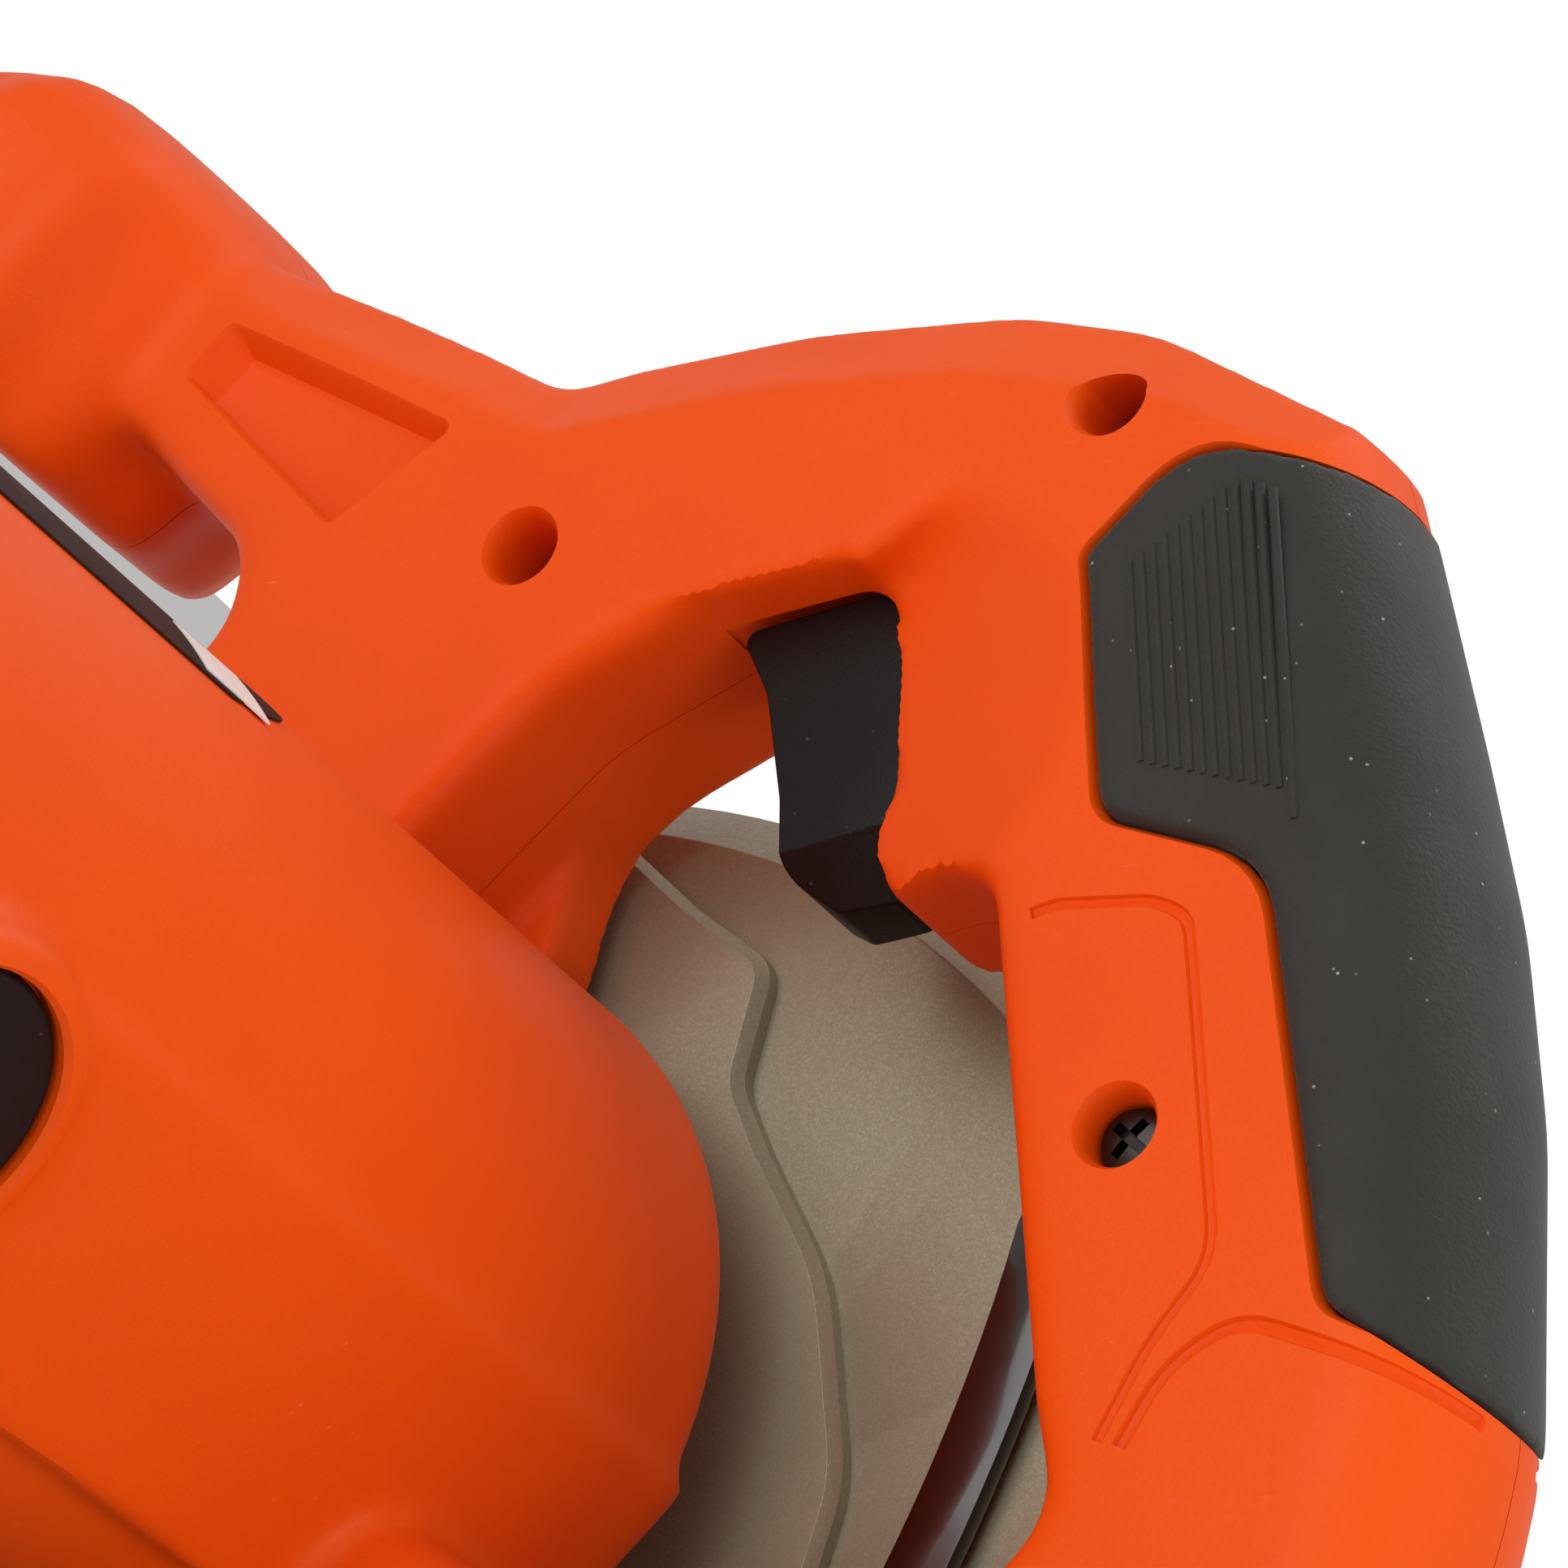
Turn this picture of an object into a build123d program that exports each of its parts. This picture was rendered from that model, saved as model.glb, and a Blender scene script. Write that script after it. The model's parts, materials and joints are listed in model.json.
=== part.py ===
"""Circular saw with the blade on the right: a real assembly of separate solids.

Frame, in millimetres: +X is the cutting direction, +Y points to the motor side and +Z is up.
The origin is on the shoe's sole, below the blade spindle, in the parting plane of the handle.
The saw stands at its full cutting depth and square to the shoe.
"""
import os
from math import cos, radians, sin

from build123d import *

os.makedirs("parts", exist_ok=True)

# Blade and spindle
BLADE_R = 92.0
BLADE_T = 1.8
BLADE_Y = -38.0
ARBOR_R = 7.94
SPINDLE_Z = 27.0
SPINDLE_R = 6.0
FLANGE_R = 20.0
RUNNING = 0.06

# Gear train, module 1
GEAR_TEETH = 46
PINION_TEETH = 9
GEAR_Y0, GEAR_Y1 = -19.0, -11.0
GEAR_DISTANCE = (GEAR_TEETH + PINION_TEETH) / 2
MESH_ANGLE = 60.8

# Motor
MOTOR_X = GEAR_DISTANCE * cos(radians(MESH_ANGLE))
MOTOR_Z = SPINDLE_Z + GEAR_DISTANCE * sin(radians(MESH_ANGLE))
BARREL_R = 46.0
BARREL_WALL = 3.0
BARREL_Y0, BARREL_Y1 = -8.0, 138.0
COVER_Y1 = 156.0
REAR_BEARING_Y0, REAR_BEARING_Y1 = 137.0, 144.0
BRUSH_Y = 118.5
BRUSH_CAP_R = 14.6
COMMUTATOR_R = 14.0
SHAFT_R = 4.0

# Guards
GUARD_R = 100.0
GUARD_WALL = 2.0
GUARD_Y0, GUARD_Y1 = -54.0, -22.0
GUARD_BOTTOM = 5.0
LOWER_R = 95.0
BOSS_R = 21.7

# Handle
HANDLE_HALF = 16.5
HANDLE_WALL = 3.0
PAD_DEPTH = 2.4
KNOB_X = 139.0
KNOB_Z0, KNOB_Z1 = 93.0, 131.5

# Depth and bevel adjustment
DEPTH_X, DEPTH_Z = 125.0, 12.0
SLOT_R, SLOT_HALF = 192.5, 4.5
QUAD_Y0, QUAD_Y1 = -20.5, -18.3
BOLT_ANGLE = 4.0
DEPTH_TRAVEL = 25.0
BEVEL_Y, BEVEL_Z = -14.0, 9.0
BEVEL_R = 26.0
BEVEL_START, BEVEL_TRAVEL = 30.0, 45.0

# Shoe
SHOE_X0, SHOE_X1 = -135.0, 150.0
SHOE_Y0, SHOE_Y1 = -84.0, 84.0
SHOE_T = 3.0
CHANNEL_TOP = 8.2

BOLT_X = DEPTH_X - SLOT_R * cos(radians(BOLT_ANGLE))
BOLT_Z = DEPTH_Z + SLOT_R * sin(radians(BOLT_ANGLE))


def xz(y):
    """The upright plane at this y, whose sketches read as (x, z)."""
    return Plane.XZ.offset(-y)


def slab(points, y0, y1, radius=0, mode=Mode.ADD):
    """Extrude a closed (x, z) outline with rounded corners from y0 to y1."""
    with BuildSketch(xz(y1)) as outline:
        with BuildLine():
            FilletPolyline(*points, radius=radius, close=True)
        make_face()
    extrude(outline.sketch, amount=y1 - y0, mode=mode)


def bar(x, z, radius, y0, y1, mode=Mode.ADD):
    """A round bar or hole along Y."""
    with BuildSketch(xz(y1)) as outline:
        with Locations((x, z)):
            Circle(radius)
    extrude(outline.sketch, amount=y1 - y0, mode=mode)


def rod(plane, radius, length, mode=Mode.ADD):
    """A round bar or hole along the normal of a plane, from its origin."""
    with BuildSketch(plane) as outline:
        Circle(radius)
    extrude(outline.sketch, amount=length, mode=mode)


def block(x0, x1, y0, y1, z0, z1, mode=Mode.ADD):
    """A box between two corners."""
    with Locations(((x0 + x1) / 2, (y0 + y1) / 2, (z0 + z1) / 2)):
        Box(x1 - x0, y1 - y0, z1 - z0, mode=mode)


def turned(x, z, points, mode=Mode.ADD):
    """Revolve a closed (radius, y) outline about the Y-parallel axis through (x, z)."""
    with BuildSketch(Plane((x, 0, z))) as outline:
        with BuildLine():
            Polyline(*points, close=True)
        make_face()
    revolve(outline.sketch, axis=Axis((x, 0, z), (0, 1, 0)), mode=mode)


def washer(inner, outer, y0, y1):
    """The (radius, y) outline of a plain ring."""
    return [(inner, y0), (outer, y0), (outer, y1), (inner, y1)]


def polar(x, z, radius, angle):
    """A point at this radius and angle (degrees, from +X towards +Z) about (x, z)."""
    return (x + radius * cos(radians(angle)), z + radius * sin(radians(angle)))


def sector(x, z, r0, r1, a0, a1, y0, y1, mode=Mode.ADD):
    """A ring sector about a Y-parallel axis, from angle a0 to a1."""
    middle = (a0 + a1) / 2
    with BuildSketch(xz(y1)) as outline:
        with BuildLine():
            outer = ThreePointArc(*(polar(x, z, r1, a) for a in (a0, middle, a1)))
            inner = ThreePointArc(*(polar(x, z, r0, a) for a in (a0, middle, a1)))
            Line(outer @ 0, inner @ 0)
            Line(outer @ 1, inner @ 1)
        make_face()
    extrude(outline.sketch, amount=y1 - y0, mode=mode)


def gear_outline(x, z, teeth, tip, root, first):
    """Outline of a straight-sided gear whose first tooth points along `first` degrees."""
    pitch = 360.0 / teeth
    half_root = 0.24 * pitch
    half_tip = 0.10 * pitch
    points = []
    for i in range(teeth):
        middle = first + i * pitch
        points.append(polar(x, z, root, middle - half_root))
        points.append(polar(x, z, tip, middle - half_tip))
        points.append(polar(x, z, tip, middle + half_tip))
        points.append(polar(x, z, root, middle + half_root))
    return points


def toothed(x, z, teeth, tip, root, first, y0, y1):
    """A gear blank with its teeth, from y0 to y1."""
    with BuildSketch(xz(y1)) as outline:
        with BuildLine():
            Polyline(*gear_outline(x, z, teeth, tip, root, first), close=True)
        make_face()
    extrude(outline.sketch, amount=y1 - y0)


def hexagon(x, z, across, y0, y1):
    """A hexagonal head along Y."""
    with BuildSketch(xz(y1)) as outline:
        with Locations((x, z)):
            RegularPolygon(across / 2, 6, major_radius=False)
    extrude(outline.sketch, amount=y1 - y0)


def coil(start, direction, radius, wire, height, turns):
    """A helical spring; used inside its own part block."""
    with BuildLine() as path:
        Helix(pitch=height / turns, height=height, radius=radius, center=start, direction=direction)
    with BuildSketch(Plane(path.line @ 0, z_dir=path.line % 0)) as section:
        Circle(wire)
    sweep(section.sketch, path=path.line)


def finish(part, name):
    """Label a piece and write it."""
    part.label = name
    export_step(part, f"parts/{name}.step")


# ---------------------------------------------------------------- handle shells
# Outline of grip, trigger box, front arm and strut, from the foot of the arm round to the loop.
HANDLE_OUTLINE = [
    (77.5, 62), (77.5, 96), (84, 103.3), (114, 104.6), (114, 129), (70, 138.6), (23, 178.6),
    (-22, 189.2), (-62, 163), (-106, 122.5), (-128, 84), (-128, 46), (-79.5, 46), (-79.5, 89),
    (-70, 95), (-22, 130.6), (-12, 128.5), (-7, 121.6), (-3.2, 125), (-2.2, 129.4), (8, 139.8),
    (17, 145.6), (29, 131.8), (36.6, 114), (37.6, 96), (37.6, 62),
]
HANDLE_RADII = [0, 6, 5, 0, 0, 12, 26, 5, 70, 45, 30, 8, 8, 9, 20, 6, 4, 1.5, 2, 1, 4, 2.5, 6, 20, 20, 0]
PAD_OUTLINE = [
    (-6.2, 160.5), (-6.8, 175), (-24, 187), (-30, 196), (-75, 176), (-128, 126), (-112, 125.8),
    (-88, 121), (-48, 149.4), (-29.5, 141.9), (-19, 150.2), (-9.5, 158),
]
PAD_RADII = [2, 10, 0, 0, 0, 0, 6, 4, 12, 4, 10, 2]
CORE_SHIFT = (1.5, -1.9)
SCREW_SPOTS = [(51.5, 123.3), (5.7, 174.1), (-56.3, 120.2), (-104, 66), (139, 112), (60, 78)]
SEAT_Y = 5.0

# Trigger, drawn at rest, and its straight travel up into the handle.
TRIGGER_OUTLINE = [
    (28, 131.8), (17.5, 144.5), (12, 151), (2, 143), (-2, 133), (-3.5, 125.5), (-12.5, 121.6),
    (-7.2, 116.2), (2.8, 116.1), (9.3, 121.8), (20, 129),
]
TRIGGER_RADII = [1.5, 0, 1, 1, 2, 2, 1, 2, 6, 8, 5]
TRIGGER_TRAVEL = 6.0
TRIGGER_DIR = (-0.5812, 0.8137)
TRIGGER_HALF = 8.0
TRIGGER_PLAY = 0.3

with BuildPart() as knob_shape:
    with BuildSketch(Plane.XY.offset(KNOB_Z0)):
        with Locations((KNOB_X, 0)):
            Ellipse(31, 34)
    extrude(amount=KNOB_Z1 - KNOB_Z0)
    fillet(knob_shape.edges().filter_by(GeomType.ELLIPSE).sort_by(Axis.Z)[-1], 13)
    fillet(knob_shape.edges().filter_by(GeomType.ELLIPSE).sort_by(Axis.Z)[0], 7)

with BuildPart() as pad_core:
    slab([(x + CORE_SHIFT[0], z + CORE_SHIFT[1]) for x, z in HANDLE_OUTLINE],
         -HANDLE_HALF + PAD_DEPTH, HANDLE_HALF - PAD_DEPTH, radius=HANDLE_RADII)

with BuildPart() as handle_body:
    slab(HANDLE_OUTLINE, -HANDLE_HALF, HANDLE_HALF, radius=HANDLE_RADII)

with BuildPart() as grip_pad:
    slab(PAD_OUTLINE, -HANDLE_HALF, HANDLE_HALF, radius=PAD_RADII)
    add(handle_body.part, mode=Mode.INTERSECT)
    add(pad_core.part, mode=Mode.SUBTRACT)
finish(grip_pad.part, "grip_pad")

CAVITIES = [
    # front arm and strut
    [(74.5, 70), (74.5, 98), (80, 106.3), (110, 107.6), (110, 125), (72, 133.5), (42, 158), (20, 158),
     (31.5, 132), (39.6, 114), (40.6, 97), (40.6, 70)],
    # trigger box and top
    [(41, 158), (22, 173), (-5, 180), (-5, 140), (19, 151), (30, 140)],
    # grip
    [(-3, 176), (-3, 136), (-21, 134), (-68, 99), (-76.5, 92), (-76.5, 52), (-124, 52), (-124, 84),
     (-101, 120), (-60, 156), (-24, 180)],
]

with BuildPart() as handle_shape:
    add(handle_body.part)
    add(grip_pad.part, mode=Mode.SUBTRACT)
    inner = HANDLE_HALF - HANDLE_WALL - PAD_DEPTH
    for cavity in CAVITIES:
        slab(cavity, -inner, inner, radius=1, mode=Mode.SUBTRACT)
    add(knob_shape.part)
    with BuildSketch(Plane.XY.offset(KNOB_Z0 + HANDLE_WALL)):
        with Locations((KNOB_X, 0)):
            Ellipse(22, 25)
    extrude(amount=KNOB_Z1 - KNOB_Z0 - 3 * HANDLE_WALL, mode=Mode.SUBTRACT)
    for x, z in SCREW_SPOTS:
        reach = 27 if x > KNOB_X - 10 else inner + 1
        bar(x, z, 6.5, -reach, reach)
    # slot for the trigger over its whole travel, with play along and across it
    for travel in (-0.3, 2.0, 4.0, TRIGGER_TRAVEL + 0.4):
        for play in (-TRIGGER_PLAY, TRIGGER_PLAY):
            dx = travel * TRIGGER_DIR[0] + play * TRIGGER_DIR[1]
            dz = travel * TRIGGER_DIR[1] - play * TRIGGER_DIR[0]
            slab([(x + dx, z + dz) for x, z in TRIGGER_OUTLINE], -TRIGGER_HALF - 0.5,
                 TRIGGER_HALF + 0.5, mode=Mode.SUBTRACT)
    bar(MOTOR_X, MOTOR_Z, BARREL_R + 0.4, BARREL_Y0 - 0.4, 40, mode=Mode.SUBTRACT)
    # strut pockets, the screw holes from the motor side and the cord's way in
    for y0, y1 in ((HANDLE_HALF - 2, HANDLE_HALF + 1), (-HANDLE_HALF - 1, -HANDLE_HALF + 2)):
        slab([(105, 120.2), (70.5, 128), (74.5, 111.8), (105, 113)], y0, y1, radius=1.5,
             mode=Mode.SUBTRACT)
    for x, z in SCREW_SPOTS:
        bar(x, z, 4.0, SEAT_Y, 40, mode=Mode.SUBTRACT)
        bar(x, z, 2.0, -inner + 1, SEAT_Y, mode=Mode.SUBTRACT)
    rod(Plane((-123, 0, 62), z_dir=(-1, 0, 0)), 6.5, 8, mode=Mode.SUBTRACT)

with BuildPart() as handle_left:
    add(handle_shape.part)
    split(bisect_by=Plane.XZ, keep=Keep.BOTTOM)
finish(handle_left.part, "handle_left")

with BuildPart() as handle_right:
    add(handle_shape.part)
    split(bisect_by=Plane.XZ, keep=Keep.TOP)
finish(handle_right.part, "handle_right")

with BuildPart() as handle_screws:
    for x, z in SCREW_SPOTS:
        turned(x, z, [(0, -9), (1.9, -9), (1.9, SEAT_Y), (3.6, SEAT_Y), (3.6, SEAT_Y + 1.6),
                      (2.6, SEAT_Y + 2.4), (0, SEAT_Y + 2.4)])
        for turn in (0, 90):
            with BuildSketch(xz(SEAT_Y + 3)):
                with Locations((x, z)):
                    Rectangle(3.4, 0.8, rotation=turn)
            extrude(amount=1.8, mode=Mode.SUBTRACT)
finish(handle_screws.part, "handle_screws")

with BuildPart() as cord_gland:
    with BuildSketch(Plane((0, 0, 62))):
        with BuildLine():
            Polyline((-141, 4), (-141, 6.2), (-128.2, 8.5), (-128.2, 6.4), (-124.2, 6.4), (-124.2, 4),
                     close=True)
        make_face()
    revolve(axis=Axis((0, 0, 62), (1, 0, 0)))
finish(cord_gland.part, "cord_gland")

with BuildPart() as switch_body:
    block(-1, 17, -9, 9, 158.5, 167)
    block(14, 20, -6, 6, 160, 165)
finish(switch_body.part, "switch_body")

with BuildPart() as trigger:
    slab(TRIGGER_OUTLINE, -TRIGGER_HALF, TRIGGER_HALF, radius=TRIGGER_RADII)
    fillet(trigger.edges().filter_by(Plane.XZ).group_by(Axis.Y)[-1], 0.9)
    fillet(trigger.edges().filter_by(Plane.XZ).group_by(Axis.Y)[0], 0.9)
finish(trigger.part, "trigger")

with BuildPart() as trigger_spring:
    coil((10, 0, 152.2), (0, 0, 1), 3.2, 0.5, 5.6, 4)
finish(trigger_spring.part, "trigger_spring")

# ---------------------------------------------------------------- motor housing
PAD_FLAT_X = MOTOR_X - 45.2
TAIL = [(-20, 14), (-20, 46), (-124, 46), (-124, 14)]

with BuildPart() as motor_housing:
    bar(MOTOR_X, MOTOR_Z, BARREL_R, BARREL_Y0, BARREL_Y1)
    slab([(MOTOR_X, 31), (MOTOR_X, 68), (PAD_FLAT_X, 68), (PAD_FLAT_X, 31)], BARREL_Y0 + 8, BARREL_Y1,
         radius=[0, 0, 2, 4])
    slab(TAIL, -2, 32, radius=[0, 0, 10, 10])
    for side, length in ((-1, 47.2), (1, 47.0)):
        rod(Plane((MOTOR_X, BRUSH_Y, MOTOR_Z), z_dir=(side, 0, 0)), BRUSH_CAP_R + 3, length)
    bar(MOTOR_X, MOTOR_Z, BARREL_R - BARREL_WALL, 2, BARREL_Y1 + 1, mode=Mode.SUBTRACT)
    # bearing seats in the web, brush cap recesses and the hollow of the tail
    bar(MOTOR_X, MOTOR_Z, 11, -9, -1, mode=Mode.SUBTRACT)
    bar(MOTOR_X, MOTOR_Z, 6, -2, 3, mode=Mode.SUBTRACT)
    bar(0, SPINDLE_Z, 11, -9, -2, mode=Mode.SUBTRACT)
    for side in (-1, 1):
        rod(Plane((MOTOR_X + side * 44, BRUSH_Y, MOTOR_Z), z_dir=(side, 0, 0)), BRUSH_CAP_R + 0.3, 9,
            mode=Mode.SUBTRACT)
        rod(Plane((MOTOR_X + side * 40, BRUSH_Y, MOTOR_Z), z_dir=(side, 0, 0)), 9.2, 9,
            mode=Mode.SUBTRACT)
    block(-120, -52, 2, 28, 13, 42, mode=Mode.SUBTRACT)
    # cooling slots on the front of the barrel, beside the fan
    for z in (22, 30, 38, 46, 54, 62, 70):
        block(MOTOR_X + 20, MOTOR_X + 60, 3, 13, z, z + 3.6, mode=Mode.SUBTRACT)
    # flange screw holes
    for angle in (-40, 135, 215):
        x, z = polar(MOTOR_X, MOTOR_Z, 32, angle)
        bar(x, z, 2.1, -9, 0, mode=Mode.SUBTRACT)
finish(motor_housing.part, "motor_housing")

with BuildPart() as spec_label:
    sector(MOTOR_X, MOTOR_Z, BARREL_R, BARREL_R + 0.4, 80, 103, 69, 137)
finish(spec_label.part, "spec_label")

COVER_SCREW_R = 39.0
COVER_SCREW_ANGLES = (45, 135, 225, 315)

with BuildPart() as motor_end_cover:
    turned(MOTOR_X, MOTOR_Z, [(0, COVER_Y1), (30, COVER_Y1), (41, COVER_Y1 - 4), (BARREL_R, COVER_Y1 - 11),
                              (BARREL_R, BARREL_Y1), (BARREL_R - 3, BARREL_Y1),
                              (BARREL_R - 3, COVER_Y1 - 11), (38, COVER_Y1 - 5), (14.5, COVER_Y1 - 3),
                              (14.5, REAR_BEARING_Y0), (11, REAR_BEARING_Y0), (11, REAR_BEARING_Y1),
                              (0, REAR_BEARING_Y1)])
    for angle in COVER_SCREW_ANGLES:
        x, z = polar(MOTOR_X, MOTOR_Z, COVER_SCREW_R, angle)
        bar(x, z, 4.6, BARREL_Y1, COVER_Y1 - 4)
    for angle in COVER_SCREW_ANGLES:
        x, z = polar(MOTOR_X, MOTOR_Z, COVER_SCREW_R, angle)
        bar(x, z, 2.1, BARREL_Y1 - 1, COVER_Y1, mode=Mode.SUBTRACT)
        bar(x, z, 3.9, COVER_Y1 - 9, COVER_Y1 + 1, mode=Mode.SUBTRACT)
    # intake slots round the bearing
    for step in range(12):
        with BuildSketch(xz(COVER_Y1 + 1)):
            with Locations((MOTOR_X, MOTOR_Z)):
                with PolarLocations(23, 1, start_angle=step * 30):
                    SlotOverall(13, 4)
        extrude(amount=7, mode=Mode.SUBTRACT)
finish(motor_end_cover.part, "motor_end_cover")

with BuildPart() as motor_screws:
    for angle in COVER_SCREW_ANGLES:
        x, z = polar(MOTOR_X, MOTOR_Z, COVER_SCREW_R, angle)
        turned(x, z, [(0, BARREL_Y1 - 4), (1.9, BARREL_Y1 - 4), (1.9, COVER_Y1 - 9), (3.5, COVER_Y1 - 9),
                      (3.5, COVER_Y1 - 7), (2.4, COVER_Y1 - 6.2), (0, COVER_Y1 - 6.2)])
finish(motor_screws.part, "motor_screws")

with BuildPart() as stator_core:
    turned(MOTOR_X, MOTOR_Z, washer(24.8, BARREL_R - BARREL_WALL - 0.2, 24, 74))
    for middle in (0, 180):
        sector(MOTOR_X, MOTOR_Z, 24, 36, middle - 38, middle + 38, 23, 75, mode=Mode.SUBTRACT)
finish(stator_core.part, "stator_core")

with BuildPart() as field_windings:
    for middle in (0, 180):
        sector(MOTOR_X, MOTOR_Z, 26.5, 35.5, middle - 36, middle + 36, 16, 82)
finish(field_windings.part, "field_windings")

with BuildPart() as brush_holders:
    for side in (-1, 1):
        start = MOTOR_X + side * 16
        end = MOTOR_X + side * 40
        block(min(start, end), max(start, end), BRUSH_Y - 7, BRUSH_Y + 7, MOTOR_Z - 5, MOTOR_Z + 5)
        block(min(start, end) - 1, max(start, end) + 1, BRUSH_Y - 5.1, BRUSH_Y + 5.1, MOTOR_Z - 3.1,
              MOTOR_Z + 3.1, mode=Mode.SUBTRACT)
finish(brush_holders.part, "brush_holders")

with BuildPart() as carbon_brushes:
    for side in (-1, 1):
        start = MOTOR_X + side * (COMMUTATOR_R + 0.3)
        end = MOTOR_X + side * 29
        block(min(start, end), max(start, end), BRUSH_Y - 5, BRUSH_Y + 5, MOTOR_Z - 3, MOTOR_Z + 3)
finish(carbon_brushes.part, "carbon_brushes")

with BuildPart() as brush_spring_rear:
    coil((MOTOR_X - 29.6, BRUSH_Y, MOTOR_Z), (-1, 0, 0), 2.2, 0.35, 10, 6)
with BuildPart() as brush_spring_front:
    coil((MOTOR_X + 29.6, BRUSH_Y, MOTOR_Z), (1, 0, 0), 2.2, 0.35, 10, 6)
with BuildPart() as brush_springs:
    add(brush_spring_rear.part)
    add(brush_spring_front.part)
finish(brush_springs.part, "brush_springs")

with BuildPart() as brush_caps:
    for side in (-1, 1):
        rod(Plane((MOTOR_X + side * 44, BRUSH_Y, MOTOR_Z), z_dir=(side, 0, 0)), BRUSH_CAP_R, 2.4)
        fillet(brush_caps.edges().group_by(Axis.X)[-1 if side > 0 else 0], 0.8)
        rod(Plane((MOTOR_X + side * 44, BRUSH_Y, MOTOR_Z), z_dir=(-side, 0, 0)), 8.9, 3.5)
        with BuildSketch(Plane((MOTOR_X + side * 45.2, BRUSH_Y, MOTOR_Z), z_dir=(side, 0, 0))):
            Rectangle(14, 2)
        extrude(amount=3, mode=Mode.SUBTRACT)
finish(brush_caps.part, "brush_caps")

with BuildPart() as armature_bearings:
    turned(MOTOR_X, MOTOR_Z, washer(SHAFT_R + RUNNING, 11, -8, -1))
    turned(MOTOR_X, MOTOR_Z, washer(SHAFT_R + RUNNING, 11, REAR_BEARING_Y0, REAR_BEARING_Y1))
finish(armature_bearings.part, "armature_bearings")

# ---------------------------------------------------------------- armature
with BuildPart() as armature_shaft:
    toothed(MOTOR_X, MOTOR_Z, PINION_TEETH, 5.3, 3.3, MESH_ANGLE + 180 + 20, -19.4, -10.6)
    bar(MOTOR_X, MOTOR_Z, SHAFT_R, -10.6, REAR_BEARING_Y1 - 0.5)
finish(armature_shaft.part, "armature_shaft")

with BuildPart() as armature_core:
    turned(MOTOR_X, MOTOR_Z, washer(SHAFT_R, 24.2, 26, 72))
    for step in range(12):
        x, z = polar(MOTOR_X, MOTOR_Z, 19, step * 30)
        bar(x, z, 3, 25, 73, mode=Mode.SUBTRACT)
finish(armature_core.part, "armature_core")

with BuildPart() as armature_windings:
    turned(MOTOR_X, MOTOR_Z, [(SHAFT_R, 72), (22, 72), (23, 78), (18, 86), (SHAFT_R, 86)])
    turned(MOTOR_X, MOTOR_Z, [(SHAFT_R, 26), (22, 26), (23, 21), (18, 15), (SHAFT_R, 15)])
finish(armature_windings.part, "armature_windings")

with BuildPart() as commutator:
    turned(MOTOR_X, MOTOR_Z, washer(SHAFT_R, COMMUTATOR_R, 104, 127))
    for step in range(24):
        with BuildSketch(xz(128)):
            with Locations((MOTOR_X, MOTOR_Z)):
                with PolarLocations(COMMUTATOR_R, 1, start_angle=step * 15):
                    Rectangle(1.2, 0.5)
        extrude(amount=25, mode=Mode.SUBTRACT)
finish(commutator.part, "commutator")

with BuildPart() as fan:
    turned(MOTOR_X, MOTOR_Z, washer(SHAFT_R, 12, 3, 13))
    turned(MOTOR_X, MOTOR_Z, washer(SHAFT_R, 38, 3, 5))
    with BuildSketch(xz(12.5)):
        with Locations((MOTOR_X, MOTOR_Z)):
            with PolarLocations(24.4, 13):
                Rectangle(26, 1.6)
    extrude(amount=8)
finish(fan.part, "fan")

# ---------------------------------------------------------------- gear case and guards
PLATEAU = [
    (44, 107.3), (31, 107.3), (18, 108.5), (10.5, 97), (2, 93.8), (-14.7, 88.9), (-34, 75),
    (-46, 54), (-46, 5), (74, 5), (74, 60), (70, 107.3),
]
PLATEAU_RADII = [0, 4, 5, 6, 8, 30, 20, 14, 4, 4, 20, 8]
NECK_R = 26.0
ARM = [(20, 8), (20, 34), (60, 30), (DEPTH_X, 20), (DEPTH_X, 4), (70, 8)]

with BuildPart() as gear_case:
    slab(PLATEAU, GUARD_Y1, -19, radius=PLATEAU_RADII)
    chamfer(gear_case.faces().filter_by(Axis.Y).sort_by(Axis.Y)[-1].edges(), 1.2)
    with BuildSketch(xz(BARREL_Y0)):
        with Locations((0, SPINDLE_Z)):
            Circle(NECK_R)
        with Locations((MOTOR_X, MOTOR_Z)):
            Circle(20)
        make_hull()
    extrude(amount=BARREL_Y0 - GUARD_Y1)
    bar(0, SPINDLE_Z, BOSS_R, -31.7, GUARD_Y1)
    slab(ARM, -18.7, -9.3, radius=[0, 0, 10, 0, 0, 4])
    bar(DEPTH_X, DEPTH_Z, 8, -18.7, -9.3)
    rod(Plane((-24.8, -14, SPINDLE_Z), z_dir=(-1, 0, 0)), 5.8, 17)
    # gear chamber, bearing bore, groove for the retaining ring, eye, lock pin and screw holes
    bar(0, SPINDLE_Z, 24.4, -21, BARREL_Y0 + 1, mode=Mode.SUBTRACT)
    bar(MOTOR_X, MOTOR_Z, 6.2, -21, BARREL_Y0 + 1, mode=Mode.SUBTRACT)
    bar(0, SPINDLE_Z, 16, -31.2, -20, mode=Mode.SUBTRACT)
    bar(0, SPINDLE_Z, 13.5, -32, -31, mode=Mode.SUBTRACT)
    turned(0, SPINDLE_Z, washer(20.8, 30, -30.6, -29.4), mode=Mode.SUBTRACT)
    bar(DEPTH_X, DEPTH_Z, 4 + RUNNING, -19, -9, mode=Mode.SUBTRACT)
    rod(Plane((-20, -14, SPINDLE_Z), z_dir=(-1, 0, 0)), 3 + RUNNING, 24, mode=Mode.SUBTRACT)
finish(gear_case.part, "gear_case")

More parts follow.
